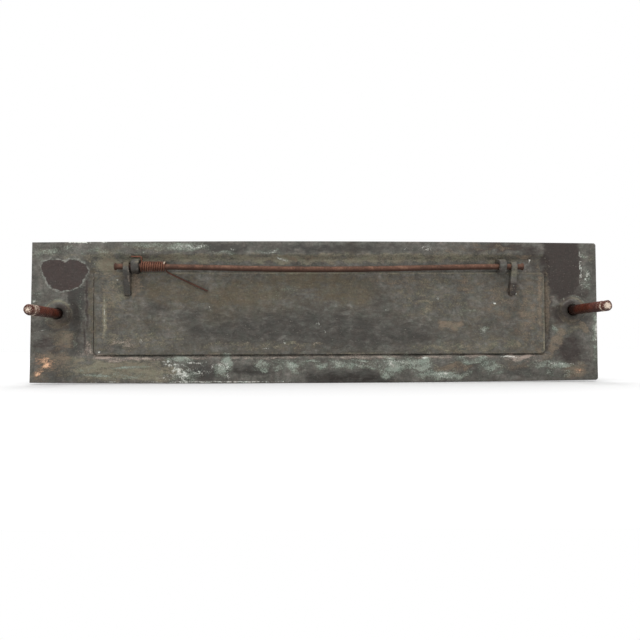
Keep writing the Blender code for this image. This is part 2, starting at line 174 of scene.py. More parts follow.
roomStainsAndShade = {
    "slate": [   # cold grey film
        (-172, -20, 4, 8, 0, 0.35), (-165, -8, 9, 7, 0, 0.5), (-161, -38, 12, 5, 0, 0.5),
        (-40, -36, 12, 4, 0, 0.8), (25, -13, 75, 12, 0, 0.3), (-60, -17, 40, 6, 2, 0.4),
        (66, -14, 16, 8, 0, 0.4), (-40, -8, 14, 6, 0, 0.4), (40, 4, 7, 20, 6, 0.4),
        (60, 40.5, 40, 3, 0, 0.4), (10, 40, 44, 3, 0, 0.65), (-60, 40.5, 20, 3, 0, 0.7),
        (100, -35, 14, 6, 0, 0.6), (165, -4, 9, 8, 0, 0.8), (126, -38, 12, 4, 0, 0.6),
        (-95, 40, 20, 3, 0, 0.3), (-100, 2, 9, 5, 0, 0.5), (-80, -3, 14, 5, 0, 0.5),
        (-150, -22, 5, 4, 0, 0.7), (145, -39, 20, 2.4, 0, 0.6), (174, 26, 4, 18, 0, 0.55),
        (-175.5, 12, 2.6, 24, 0, 0.45)],
    "olive": [   # warm olive brown
        (-90, 12, 34, 12, -4, 0.6), (-45, 11, 36, 12, 0, 0.7), (-5, 20, 34, 6, 0, 0.8),
        (-30, 0, 30, 7, 3, 0.5), (20, 12, 26, 10, 0, 0.7), (62, 16, 22, 9, 0, 0.4),
        (-118, -6, 18, 18, 0, 0.3), (-60, -4, 18, 8, 0, 0.6), (-140, 0, 3, 28, 0, 0.6),
        (-156, -12, 12, 6, 0, 0.5), (-150, -4, 5, 6, 0, 0.5), (20, 39, 10, 4, 0, 0.55),
        (150, -4, 10, 8, 0, 0.5), (98, -10, 15, 8, 0, 0.4), (-126, 40, 10, 3, 0, 0.4),
        (90, 20, 30, 4, 0, 0.4)],
    "plum": [    # purple-brown oxide
        (168, -30, 7, 7, 0, 0.4), (-154, 11, 5, 3, -20, 0.3), (-164, -20, 11, 6, 0, 0.6),
        (116, 41, 16, 3, 0, 0.8), (134, 37, 10, 6, 0, 0.55), (120, -8, 13, 10, 0, 0.3),
        (123, 12.5, 2.6, 4, 0, 0.8), (139, 22, 6, 16, 0, 0.3), (-143.2, 8, 0.9, 20, 1, 0.7),
        (-144.6, -13, 0.9, 12, 3, 0.7), (-166, 8, 5, 3, 20, 0.4), (-158, -10, 6, 3, 0, 0.45),
        (146.4, 2, 2.4, 27, 0, 0.6), (168, 12, 5, 5, 0, 0.6), (152, -2, 6, 6, 0, 0.7),
        (100, 39, 8, 3, 0, 0.5), (-118, -38, 8, 3, 0, 0.3), (85, -34.5, 12, 2, 0, 0.6)],
    "tan": [     # rusty tan run-off from the iron
        (-113, 17, 4, 8, 0, 0.75), (-114.5, 14, 1.5, 6, 0, 0.9), (143, -27, 7, 3, -30, 0.6),
        (-164, -30, 12, 7, 0, 0.7), (163, -38, 8, 5, 0, 0.8), (-172, -40, 7, 4, 0, 0.6),
        (-4, 34.5, 8, 1.6, 0, 0.6), (-17, 33.6, 6, 1.2, -25, 0.6), (130, 35, 5, 1.4, 0, 0.7),
        (141, 4, 1.6, 26, 0, 0.7), (145.8, 4, 1.5, 22, 0, 0.7), (-155, -17, 8, 5, 30, 0.7),
        (-131, 30, 7, 5, 0, 0.45), (-160, -5, 7, 5, 0, 0.6), (112, 41, 16, 3, 0, 0.5),
        (85, 40, 14, 3, 0, 0.4), (-118, -32, 12, 2.4, 0, 0.35), (-128, 22, 8, 5, 0, 0.4),
        (93, 16, 12, 8, 0, 0.4), (-175, 1, 3, 5, 0, 0.5), (122, -34, 14, 4, 0, 0.4),
        (116, 8, 12, 14, 0, 0.45), (133, 0, 8, 22, 0, 0.5), (-160, 42, 9, 2, 0, 0.3),
        (104, 41, 10, 2.5, 0, 0.5), (-130, 6, 7, 12, 0, 0.35), (52, 18, 20, 5, 0, 0.4)],
    "straw": [   # thin yellowish film, drawn out sideways
        (-132, -32.5, 22, 1.8, 3, 1.0), (-138, -36.5, 18, 1.5, -2, 1.0), (-110, -37, 26, 3, -2, 0.9),
        (-120, -36, 34, 8, 0, 0.75), (-152, -29, 10, 3, -8, 0.7), (-104, -41, 18, 2, 0, 0.8),
        (-124, -40, 14, 1.2, 4, 1.0), (-140, -34, 10, 1.4, 0, 1.0), (-112, -33.5, 10, 1.2, -4, 1.0),
        (-92, -35, 9, 2, -6, 0.8), (-131, 31, 8, 6.5, 0, 1.0), (-131, 26, 7, 3, 0, 0.7),
        (-112, -17, 30, 6, 0, 0.45), (-126, 12, 7, 14, 0, 0.55), (0, 33, 150, 2.0, 0, 0.85),
        (0, 35.2, 170, 1.6, 0, 0.7), (-104, 34, 20, 1.5, 0, 0.6), (90, 35, 30, 3, 0, 0.6),
        (0, 35.5, 90, 1.4, 0, 0.45), (-100, 41, 24, 3, 0, 0.55), (72, 10, 22, 12, 0, 0.35),
        (160, -12, 9, 3, 20, 0.5), (-168, 38, 8, 5, 0, 0.35), (-30, -21, 40, 3, 0, 0.4),
        (88, -22, 34, 3, 0, 0.5), (-158, -14, 9, 3, 10, 0.5), (118, -20, 18, 4, 0, 0.4),
        (-132.3, -3, 1.2, 17, 1, 1.0)],
    "rose": [    # pinkish lime crust along the foot of the rebate
        # the bands along the bottom wall of the rebate are partly real crust and partly a painted highlight
        # where that wall faces up
        (-135, -27.4, 9, 2.2, -14, 0.95), (-114, -28.8, 18, 1.3, 0, 0.85), (-141.6, -22, 2.4, 6, 8, 0.7),
        (-122, -29.4, 9, 1.4, 0, 0.8), (127, -29.0, 11, 2.0, 2, 1.0), (100, -28, 10, 1.3, 0, 0.7),
        (72, -28.6, 16, 1.1, 0, 0.8), (-80, -28.5, 12, 1.1, 0, 0.7), (133, 26, 5, 1.2, 0, 0.7),
        (30, -28.8, 30, 1.1, 0, 0.7), (-30, -28.6, 30, 1.0, 0, 0.6), (-120, -19, 7, 3, 0, 0.5),
        (-129, -21, 3, 1.6, 0, 0.55), (0, -27.4, 138, 1.0, 0, 0.55), (-42, -20, 16, 2.0, 0, 0.15),
        (149, 8, 3, 2, 0, 0.4), (-116.5, 22, 0.7, 6, 0, 0.6), (-146, -25, 5, 3, -40, 0.5),
        (20, 26.5, 120, 0.5, 0, 0.4), (-4, -20, 10, 2, 0, 0.2), (135, -31, 9, 2, 0, 0.4)],
    "verdigris": [   # pale green copper salts
        (172, 20, 4, 7, 0, 0.6), (169, 38, 3, 5, 0, 0.5), (176, -14, 1.4, 20, 0, 0.7),
        (-85, -29.5, 8, 2.0, 0, 0.9), (-57, -30.5, 4, 3.4, 0, 1.0), (-118, -34.5, 16, 1.0, 3, 0.7),
        (-136, -39, 12, 1.0, -3, 0.7), (-60, -36, 5, 4.5, 0, 0.9), (-34, -33, 6, 3.4, 0, 0.8),
        (-15, -33.5, 6, 3.2, 0, 1.0), (3, -33.5, 4.5, 2.6, 0, 0.95), (-25, -34.5, 5, 2.6, 0, 0.7),
        (18, -33, 10, 2.2, 0, 0.8), (34, -34, 8, 2.2, 0, 0.7), (48, -34, 7, 6, 0, 0.95),
        (62, -33, 12, 5, 0, 0.85), (78, -39.5, 16, 2.6, 0, 1.0), (100, -31, 14, 2.2, 0, 0.75),
        (108, -36, 11, 4, 0, 0.6), (150, -34, 14, 2.4, -2, 0.8), (150, -12, 2.4, 4, 20, 0.6),
        (-84, 40.6, 17, 2.6, 0, 0.75), (-112, 37, 12, 3.4, 0, 0.3), (-140, 38, 12, 3, 0, 0.4),
        (-150, -14, 2, 10, 0, 0.5), (94, 0, 10, 3, 0, 0.25), (-165, 38, 14, 4, 10, 0.5),
        (-174, 10, 3, 12, 0, 0.3), (-163, -2, 12, 3, 20, 0.4), (-82, -40, 10, 4, 0, 0.7),
        (-60, 37, 8, 2.0, 0, 0.5), (-30, 37.5, 8, 2.0, 0, 0.45), (25, -31, 60, 1.3, 0, 0.55),
        (150, -39, 20, 2.0, 0, 0.5), (105, -12, 2.4, 3.4, 0, 0.6), (42, -39, 4, 3, 0, 0.8),
        (-120, -40, 16, 2.2, 0, 0.5), (-147, 3, 1.6, 14, 0, 0.4), (-170, 22, 2.4, 9, 0, 0.2),
        (-104, 42, 20, 2, 0, 0.6), (-20, 12, 9, 5, 30, 0.25), (-142, -36, 8, 2, 0, 0.4)],
    "lime": [    # white limescale and paint specks
        (-89, -33.0, 9, 1.2, -4, 0.52), (-84.5, -38, 3.2, 7, 18, 0.5), (-93, -31, 6, 1.0, 0, 0.45),
        (-75, -31.5, 10, 0.9, 0, 0.45), (-86, -35, 10, 5, 0, 0.4), (-74, -37, 9, 5, 0, 0.34),
        (-90, -40, 12, 2.5, 0, 0.36), (-82.5, -40, 1.8, 5, 0, 0.7), (-56.5, -36, 1.1, 8, 6, 0.55),
        (-60, -33, 4.0, 4.0, 0, 0.4), (-15.5, -33, 3.2, 2.6, 0, 0.42), (3, -33.5, 2.2, 1.6, 0, 0.45),
        (-60, -43.5, 42, 0.45, 0, 0.75), (-130, -43.3, 16, 0.4, 0, 0.45), (-148, 43.7, 7, 0.9, -2, 0.8),
        (-133, 43.6, 4, 0.6, 0, 0.6), (80, -40, 9, 2.2, 0, 0.42), (172, 22, 2.6, 6, -20, 0.42),
        (167.2, 27, 1.0, 15, 1, 0.46), (168, 14, 1.0, 5, -10, 0.4), (30, -33, 40, 2.4, 0, 0.3),
        (176.9, -13, 0.5, 10, 0, 0.65), (-172.5, -12, 6, 0.6, 14, 0.42), (-175.5, 6.5, 1.4, 1.2, 0, 0.5),
        (1.5, -8.5, 2.2, 2.0, 0, 0.42), (-80, 40.8, 14, 1.5, 2, 0.42), (70, 40, 20, 2, 0, 0.3),
        (76.2, 8.8, 0.9, 0.8, 0, 0.9), (112, 5.4, 0.9, 0.6, 0, 0.9), (117, 5.7, 0.6, 0.6, 0, 0.7),
        (4.4, -12, 1.4, 0.5, -40, 0.5), (-113, 15, 0.8, 3, 0, 0.32), (-115.2, 22, 0.5, 2.0, 0, 0.4),
        (134.9, 32.6, 0.6, 0.6, 0, 0.9), (96, 8.6, 0.6, 0.6, 0, 0.7), (-132.3, -4, 0.7, 17, 1, 0.36),
        (-110, -19, 1.0, 2.6, 15, 0.4), (67, -29, 2.8, 0.9, 0, 0.65), (120, -28.6, 6, 0.9, 0, 0.7),
        (155, -33, 12, 0.6, -3, 0.45), (-22, 33.2, 5, 0.8, -20, 0.4), (-53, 39.5, 2.4, 0.9, -20, 0.45),
        (-29, 37.8, 5.0, 1.2, 0, 0.38), (50, -31, 4, 0.9, 0, 0.6), (-67, 2, 0.4, 3.5, 20, 0.4),
        (42.5, 1.3, 0.7, 0.7, 0, 0.5), (104, -13, 1.8, 2.6, -20, 0.4), (-30, -22.6, 6, 0.6, 4, 0.4),
        (-22, -18, 1.6, 3.6, 25, 0.36), (-135, -24.4, 0.9, 0.7, 0, 0.9), (13, 14.5, 0.45, 3.6, 10, 0.35),
        (45, -32, 2, 4, 0, 0.5), (-73, -37, 1, 3, 30, 0.5), (-66, -35, 0.8, 3, -20, 0.5),
        (123.5, 16, 0.6, 0.6, 0, 0.6), (125.7, 11, 0.6, 0.6, 0, 0.6), (-124.6, 20.2, 1.1, 0.7, -30, 0.7),
        (-139, 31, 0.5, 3, 0, 0.4), (-108, 37, 10, 1.2, 3, 0.26)],
    "copper": [  # metal rubbed bare
        (-167.5, -31, 7, 3.8, -12, 0.66), (-173, -38, 3.6, 2.4, 0, 0.65), (-168, -33, 3, 1.8, 0, 1.0),
        (164, -38, 4.5, 2.0, 20, 0.45), (-171, -27.5, 4, 1.8, 30, 0.45), (-172.8, -38.6, 2, 1.2, 0, 0.9)],
    "pitch": [   # nearly black grime
        # the marks below the rod's two ends and beside the studs' roots, on the side towards the plate's
        # middle, are painted shadow
        (-144.6, 22, 1.4, 13, 0, 0.5), (-155.5, -4, 6, 5, 25, 0.55), (154.5, 0, 5, 4.5, -25, 0.6),
        (146.6, -12, 0.9, 10, 0, 0.4), (-46, -37, 9, 2.2, 0, 0.4), (19, -17.5, 1.2, 0.7, 0, 0.7),
        (76, 5, 4, 4, 0, 0.3), (71, -40, 5, 2.0, 0, 0.4), (-75, -40, 6, 2.6, 0, 0.5),
        (-150, -5, 3, 16, 0, 0.62), (18, -41.5, 26, 3.4, 0, 0.6), (-121.5, 28.5, 2.2, 2.8, 0, 0.6),
        (126.5, 29, 2, 2.6, 0, 0.5)],
}
# Stains with a shape of their own: (how far the edge takes to fade in mm, strength, corners).
roomPatches = {
    "slate": [
        (4.0, 1.4, (
            (-153.8, 14.6), (-145.6, 14.5), (-145.2, 2.7), (-147.2, -7.9), (-147.7, -20.3),
            (-150.0, -22.8), (-153.1, -19.6), (-154.4, -11.0), (-153.8, 1.4))),
        (16.0, 0.62, (
            (-85, -6.1), (-64.3, -1.7), (-42.5, 1.2), (-11.1, 3.2), (17.2, 1.9), (33, -0.6), (52, -3.2),
            (75.4, -7), (74, -21.2), (51.9, -26.3), (20.3, -27), (-23.7, -25), (-61.2, -22), (-81.8, -20))),
        (5.0, 0.8, (
            (-10, -38.2), (7.6, -36.4), (32.8, -36.4), (46.6, -39.2), (48, -47), (-8, -47))),
        (5.0, 0.85, (
            (-84, -34.8), (-70.4, -32.2), (-63.9, -34.9), (-62.6, -39.9), (-69.8, -43.5), (-83, -42.8)))],
    "plum": [
        (6.5, 1.0, (
            (142.6, 46), (166.3, 46), (167.6, 31.6), (167.1, 20.0), (164.0, 8.8), (155.7, 6.0),
            (147.5, 10.8), (144.0, 23.2), (143.5, 34.1))),
        (7.0, 0.75, (
            (154.4, -15.9), (163.5, -14.0), (166.6, -21.4), (167.2, -30.2), (161.6, -34.5),
            (154.2, -33.2), (150.4, -25.8)))],
    "tan": [
        (2.4, 0.72, (
            (147.5, -28.9), (146.3, -22.6), (148.3, -16.3), (151.6, -11.2), (156.1, -9.9), (158.0, -13.7),
            (155.3, -20.1), (152.0, -25.2))),
        (2.2, 0.72, (
            (163.9, -6.8), (168.4, -5.5), (171.0, -10.0), (172.8, -13.8), (169.6, -14.4), (166.4, -10.6))),
        (3.0, 0.85, (
            (75.6, -6.5), (81.3, -5.6), (87.0, -6.6), (90.9, -5.9), (92.1, -9.7), (87.6, -11.6),
            (81.3, -10.3), (76.2, -11.6))),
        (2.5, 0.6, (
            (72.0, -33.7), (80.3, -31.8), (89.8, -31.9), (96.2, -33.2), (98.7, -36.3), (91.1, -38.2),
            (80.2, -38.8), (73.3, -37.5)))],
    "verdigris": [
        (2.4, 0.16, (
            (166.6, 46), (180, 46), (180, 13.6), (176.5, 7.3), (171.2, 6.0), (166.1, 9.2), (165.9, 20.0),
            (166.9, 31.6)))],
}
heartCorners = (
    (-171.8, 27.6), (-170.0, 31.3), (-165.1, 33.5), (-160.2, 32.9), (-157.1, 31.0), (-153.4, 32.9),
    (-148.5, 32.6), (-143.8, 29.5), (-142.9, 26.3), (-144.3, 20.7), (-147.8, 16.1), (-152.7, 13.9),
    (-158.2, 12.6), (-163.1, 13.9), (-166.8, 17.6), (-169.9, 22.6))
streetStains = {
    "slate": [(-120, 20, 60, 20, 10, 0.6), (60, -20, 90, 20, -5, 0.6)],
    "olive": [(0, 10, 120, 26, 0, 0.6), (-130, -20, 40, 20, 0, 0.5), (130, 15, 40, 25, 0, 0.5)],
    "verdigris": [(-150, -34, 26, 5, 0, 0.7), (60, -38, 60, 3.4, 0, 0.6), (150, -30, 16, 8, 0, 0.5),
                  (-60, 38, 50, 3, 0, 0.4)],
    "plum": [(80, 30, 40, 10, 0, 0.5), (-40, -30, 30, 8, 0, 0.4)],
    "tan": [(0, -8, 60, 5, 0, 0.35), (-165, 10, 6, 16, 0, 0.5)],
    "lime": [(-120, -43, 30, 0.8, 0, 0.6), (40, -43.6, 40, 0.7, 0, 0.6)],
    "straw": [(-60, 0, 70, 12, 3, 0.5), (110, -5, 50, 14, 0, 0.4)],
    "copper": [(0, 0, 70, 9, 2, 0.3)],
}


def stainLevel(places, stains, wander):
    # distance from each ellipse's middle in its own half widths, the strongest stain wins
    x, z = places[:, 0] / mm, places[:, 2] / mm
    level = np.zeros(len(x))
    for midX, midZ, wide, high, turn, strength in stains:
        c, s = math.cos(math.radians(turn)), math.sin(math.radians(turn))
        pushed = wander * min(1.0, 0.3 * min(wide, high))
        dx, dz = x - midX + pushed[:, 0], z - midZ + pushed[:, 1]
        reach = np.hypot((dx * c + dz * s) / wide, (dz * c - dx * s) / high)
        level = np.maximum(level, strength * np.clip(1.5 - reach, 0, 1))
    return level


def insideBy(places, corners, wander):
    # distance in mm to the nearest side of a closed shape, positive inside it
    at = np.stack((places[:, 0], places[:, 2]), -1) / mm + wander
    corners = np.array(corners, float)
    nearest, inside = np.full(len(at), 1e9), np.zeros(len(at), bool)
    for a, b in zip(corners, np.roll(corners, -1, 0)):
        side = b - a
        t = np.clip(((at - a) @ side) / (side @ side), 0, 1)
        nearest = np.minimum(nearest, np.linalg.norm(at - a - t[:, None] * side, axis=1))
        crosses = (a[1] > at[:, 1]) != (b[1] > at[:, 1])
        inside ^= crosses & (at[:, 0] < a[0] + (at[:, 1] - a[1]) * side[0] / (side[1] or 1e-9))
    return np.where(inside, nearest, -nearest)


def paintPatina(piece, extra=None):
    # one value per stain and point; extra gives a piece's own least levels as functions of the points in mm
    places = pointsOf(piece)
    street = ease((places[:, 1] / mm - 3.0) / 1.2)
    wander = np.stack([softNoise(places, 9 * mm, 71), softNoise(places, 9 * mm, 72)], -1) * 1.1
    wander += np.stack([softNoise(places, 3.5 * mm, 73), softNoise(places, 3.5 * mm, 74)], -1) * 0.5
    for family, stains in roomStainsAndShade.items():
        room = stainLevel(places, stains, wander)
        for fade, strength, corners in roomPatches.get(family, ()):
            inside = insideBy(places, corners, wander * 0.7) / fade
            room = np.maximum(room, strength * np.clip(0.5 + inside, 0, 1))
        if extra and family in extra:
            room = np.maximum(room, extra[family](places / mm))
        other = stainLevel(places, streetStains.get(family, ()), wander)
        storeValue(piece, family, room * (1 - street) + other * street)
    storeValue(piece, "heart", np.clip(insideBy(places, heartCorners, wander * 0.25), -6, 6) - 12 * street)


# Materials

castBronze = {
    "cast": 0.9, "mottle": 2.4, "cloud": 12.0, "pit": 1.5, "tornEdge": 4.5, "vein": 3.2,      # mm
    "bumpHeight": 0.15, "roughness": 0.6, "specular": 0.3, "metallic": 0.12,
    "tintSize": 5.0, "tintAmount": 0.6, "smudge": 1.6, "saltSize": 0.9,
    "tint": ((0.34, "c9b9b2"), (0.50, "bcbab6"), (0.66, "adbcb2")),
    "heartFrom": "40322f", "heartTo": "403c3a", "tideLine": "868882", "salt": "7f7b70", "pitDirt": "2b2723",
    "skin": ((0.34, "42403c"), (0.43, "504e49"), (0.51, "5d5b56"), (0.58, "6a6863"), (0.68, "7d7b75")),
    "layers": (
        # stain, thin and thick colour, hides, ragged by, grainy by, starts at, full at, metallic, roughness
        ("olive", "50493a", "5a5140", 0.80, 1.0, 0.8, 0.15, 0.90, 0.1, 0.62),
        ("slate", "464440", "3b3936", 0.90, 1.0, 0.8, 0.15, 0.80, 0.1, 0.55),
        ("straw", "676253", "7f7a69", 0.88, 1.3, 1.2, 0.20, 0.95, 0.0, 0.70),
        ("plum", "423a36", "37302d", 0.97, 0.9, 0.6, 0.20, 0.80, 0.1, 0.50),
        ("tan", "5b5145", "74695b", 0.90, 1.0, 1.0, 0.20, 0.85, 0.0, 0.72),
        ("rose", "6e645b", "9c9087", 0.95, 1.3, 1.8, 0.25, 1.05, 0.0, 0.80),
        ("verdigris", "60655a", "8b938a", 0.95, 1.3, 1.8, 0.25, 1.00, 0.0, 0.80),
        ("pitch", "2e2822", "211c18", 0.95, 1.0, 0.6, 0.20, 0.9, 0.0, 0.60),
        ("copper", "7d5f4c", "e2b797", 1.00, 1.1, 1.4, 0.32, 1.0, 0.8, 0.38),
        ("lime", "84867f", "d0d2cc", 1.00, 0.9, 1.2, 0.38, 0.98, 0.0, 0.85),
    ),
}


def patinatedCastBronze(name):
    # sand-cast bronze left outdoors for a century: a thin dull oxide skin, cold grey over warm olive, with
    # crusts of green and white salts, purple oxide where it stayed dry, and metal only where it was rubbed
    made = castBronze
    material, tree, shader = newMaterial(name)
    place = addNode(tree, "ShaderNodeTexCoord").outputs["Object"]
    drawn = addNode(tree, "ShaderNodeMapping", {"Vector": place, "Scale": (0.55, 1.0, 1.25)}).outputs[0]

    def noise(size, detail=4.0, roughness=0.6, distortion=0.0, where=place):
        return addNode(tree, "ShaderNodeTexNoise", {
            "Vector": where, "Scale": 1 / (size * mm), "Detail": detail, "Roughness": roughness,
            "Distortion": distortion}).outputs[0]

    def maths(operation, *values):
        return addNode(tree, "ShaderNodeMath", dict(enumerate(values)), operation=operation).outputs[0]

    def mixed(amount, under, over):
        over = (*linear(over), 1) if isinstance(over, str) else over
        return addNode(tree, "ShaderNodeMix", {0: amount, 6: under, 7: over}, data_type="RGBA").outputs[2]

    def between(value, low, high, start=0.0, end=1.0, kind="SMOOTHSTEP"):
        return addNode(tree, "ShaderNodeMapRange", {0: value, 1: low, 2: high, 3: start, 4: end},
                       interpolation_type=kind).outputs[0]

    cloud, mottle = noise(made["cloud"], 5), noise(made["mottle"], 6, 0.68, 0.4)
    cast = noise(made["cast"], 5, 0.7)
    ragged = noise(made["tornEdge"], 9, 0.72, 0.5, drawn)
    vein = maths("ABSOLUTE", maths("SUBTRACT", noise(made["vein"], 6, 0.6, 0.8), 0.5))
    vein = between(vein, 0.0, 0.05, 1.0, 0.0)
    both = maths("MULTIPLY", maths("ADD", cloud, mottle), 0.5)
    colour = addNode(tree, "ShaderNodeValToRGB", {0: both}, ramp=made["skin"]).outputs[0]
    metallic, rough, crust = made["metallic"], made["roughness"], 0.0
    for stain, thin, thick, hides, raggedBy, grainyBy, start, full, metal, dull in made["layers"]:
        level = addNode(tree, "ShaderNodeAttribute", attribute_name=stain).outputs["Fac"]
        torn = maths("MULTIPLY_ADD", ragged, raggedBy * 2.0, level)
        torn = maths("MULTIPLY_ADD", cast, grainyBy, torn)
        torn = maths("SUBTRACT", torn, raggedBy * 1.0 + grainyBy * 0.5)
        if stain == "lime":
            torn = maths("MULTIPLY_ADD", vein, maths("MULTIPLY", level, 0.9), torn)
        mask = maths("MULTIPLY", between(torn, start, full), between(level, 0.02, 0.22))
        shade = addNode(tree, "ShaderNodeMix", {0: mask, 6: (*linear(thin), 1), 7: (*linear(thick), 1)},
                        data_type="RGBA").outputs[2]
        colour = mixed(maths("MULTIPLY", maths("POWER", mask, 0.8), hides), colour, shade)
        rough = addNode(tree, "ShaderNodeMix", {0: mask, 2: rough, 3: dull}).outputs[0]
        metallic = addNode(tree, "ShaderNodeMix", {0: mask, 2: metallic, 3: metal}).outputs[0]
        if stain in ("rose", "verdigris", "lime"):
            crust = maths("MAXIMUM", mask, crust)
    # the heart: a smooth purple stain, bluer to the right, with a thin broken tide line round it
    heart = addNode(tree, "ShaderNodeAttribute", attribute_name="heart").outputs["Fac"]
    heart = maths("ADD", maths("MULTIPLY_ADD", ragged, 5.0, heart), -2.5)
    inside = between(heart, -0.2, 0.5)
    oxide = mixed(cloud, (*linear(made["heartFrom"]), 1), made["heartTo"])
    colour = mixed(inside, colour, oxide)
    tide = maths("MULTIPLY", between(heart, -1.15, -0.35), maths("SUBTRACT", 1.0, inside))
    colour = mixed(maths("MULTIPLY", tide, between(mottle, 0.40, 0.60, 0.1, 0.95)), colour,
                   made["tideLine"])
    # oxide films shift the tint a little redder here and greener there
    tint = addNode(tree, "ShaderNodeValToRGB", {0: noise(made["tintSize"], 8, 0.75)},
                   ramp=made["tint"]).outputs[0]
    colour = addNode(tree, "ShaderNodeMix", {0: made["tintAmount"], 6: colour, 7: tint}, data_type="RGBA",
                     blend_type="MULTIPLY").outputs[2]
    # cast grain lightens and darkens the skin a little, pale salts sit on it in specks, pits hold dirt
    smudge = maths("ADD", noise(made["smudge"], 4, 0.7, 0.3, drawn), cast)
    grain = between(smudge, 0.6, 1.4, 0.84, 1.82, "LINEAR")
    colour = addNode(tree, "ShaderNodeVectorMath", {0: colour, 3: grain}, operation="SCALE").outputs[0]
    salt = maths("MULTIPLY", between(noise(made["saltSize"], 3, 0.5), 0.62, 0.74),
                 between(ragged, 0.42, 0.6, 0.1, 0.6))
    colour = mixed(salt, colour, made["salt"])
    pits = addNode(tree, "ShaderNodeTexVoronoi", {"Vector": place, "Scale": 1 / (made["pit"] * mm)},
                   feature="F1").outputs["Distance"]
    pits = maths("MULTIPLY", between(pits, 0.06, 0.24, 1.0, 0.0), between(mottle, 0.53, 0.66))
    colour = mixed(maths("MULTIPLY", pits, 0.5), colour, made["pitDirt"])
    height = maths("MULTIPLY_ADD", cast, 0.45, mottle)
    height = maths("MULTIPLY_ADD", crust, 0.35, height)
    height = maths("MULTIPLY_ADD", pits, -0.5, height)
    bump = addNode(tree, "ShaderNodeBump", {"Height": height, "Strength": 0.9,
                                            "Distance": made["bumpHeight"] * mm})
    tree.links.new(colour, shader.inputs["Base Color"])
    tree.links.new(rough, shader.inputs["Roughness"])
    tree.links.new(metallic, shader.inputs["Metallic"])
    tree.links.new(bump.outputs[0], shader.inputs["Normal"])
    shader.inputs["Specular IOR Level"].default_value = made["specular"]
    return material


def rustedIron(name, colours, grime_and_shade, wear_and_glint, grain=1.1, bumpHeight=0.14, roughness=0.58):
    # mild steel rod and wire rusted right through its skin: granular orange-brown to nearly black, dull; a
    # dark level stands for caked scale and also for painted shade underneath and in tight gaps, and a pale
    # level for bare grey metal where threads and ends were worn and also for painted glints and highlights
    material, tree, shader = newMaterial(name)
    place = addNode(tree, "ShaderNodeTexCoord").outputs["Object"]
    scale = addNode(tree, "ShaderNodeTexNoise", {"Vector": place, "Scale": 1 / (grain * mm), "Detail": 7.0,
                                                 "Roughness": 0.7}).outputs[0]
    patches = addNode(tree, "ShaderNodeTexNoise", {"Vector": place, "Scale": 1 / (6 * mm), "Detail": 4.0,
                                                   "Roughness": 0.6}).outputs[0]
    both = addNode(tree, "ShaderNodeMix", {0: 0.5, 2: scale, 3: patches}).outputs[0]
    colour = addNode(tree, "ShaderNodeValToRGB", {0: both}, ramp=colours).outputs[0]
    # the dark level: caked scale and painted shade
    caked = addNode(tree, "ShaderNodeAttribute", attribute_name="grime_and_shade").outputs["Fac"]
    colour = addNode(tree, "ShaderNodeMix", {0: caked, 6: colour, 7: (*linear(grime_and_shade), 1)},
                     data_type="RGBA").outputs[2]
    # the pale level: worn bare metal and painted glints
    level = addNode(tree, "ShaderNodeAttribute", attribute_name="wear_and_glint").outputs["Fac"]
    torn = addNode(tree, "ShaderNodeMath", {0: scale, 1: 1.8, 2: -0.9}, operation="MULTIPLY_ADD").outputs[0]
    torn = addNode(tree, "ShaderNodeMath", {0: level, 1: torn}, operation="ADD").outputs[0]
    bright = addNode(tree, "ShaderNodeMapRange", {0: torn, 1: 0.45, 2: 0.95, 3: 0.0, 4: 1.0},
                     interpolation_type="SMOOTHSTEP").outputs[0]
    colour = addNode(tree, "ShaderNodeMix", {0: bright, 6: colour, 7: (*linear(wear_and_glint), 1)},
                     data_type="RGBA").outputs[2]
    metallic = addNode(tree, "ShaderNodeMapRange", {0: bright, 1: 0.0, 2: 1.0, 3: 0.1, 4: 0.7}).outputs[0]
    rough = addNode(tree, "ShaderNodeMapRange", {0: bright, 1: 0.0, 2: 1.0, 3: roughness, 4: 0.34}).outputs[0]
    bump = addNode(tree, "ShaderNodeBump", {"Height": scale, "Strength": 0.9, "Distance": bumpHeight * mm})
    tree.links.new(colour, shader.inputs["Base Color"])
    tree.links.new(rough, shader.inputs["Roughness"])
    tree.links.new(metallic, shader.inputs["Metallic"])
    tree.links.new(bump.outputs[0], shader.inputs["Normal"])
    shader.inputs["Specular IOR Level"].default_value = 0.3
    return material


bronze = patinatedCastBronze("patinated_cast_bronze")
rodIron = rustedIron(
    "rusted_iron_rod", ((0.34, "33221a"), (0.45, "503527"), (0.55, "664636"), (0.66, "836350")),
    "301a10", "a58a74")
springIron = rustedIron(
    "rusted_spring_wire", ((0.34, "3d2820"), (0.46, "603a2b"), (0.56, "744b39"), (0.68, "8c6753")),
    "2a1912", "d8c8b4", grain=0.6)
studIron = rustedIron(
    "rusted_iron_stud", ((0.34, "33160d"), (0.46, "471d10"), (0.56, "562616"), (0.68, "693a2a")),
    "1d0d08", "dccbb9", grain=0.8, roughness=0.45)
print("materials made")


def dress(piece, material, body, slot, *stoodFor):
    piece.data.materials.append(material)
    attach(piece, body)
    if stoodFor:
        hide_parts(*stoodFor)


# The plate

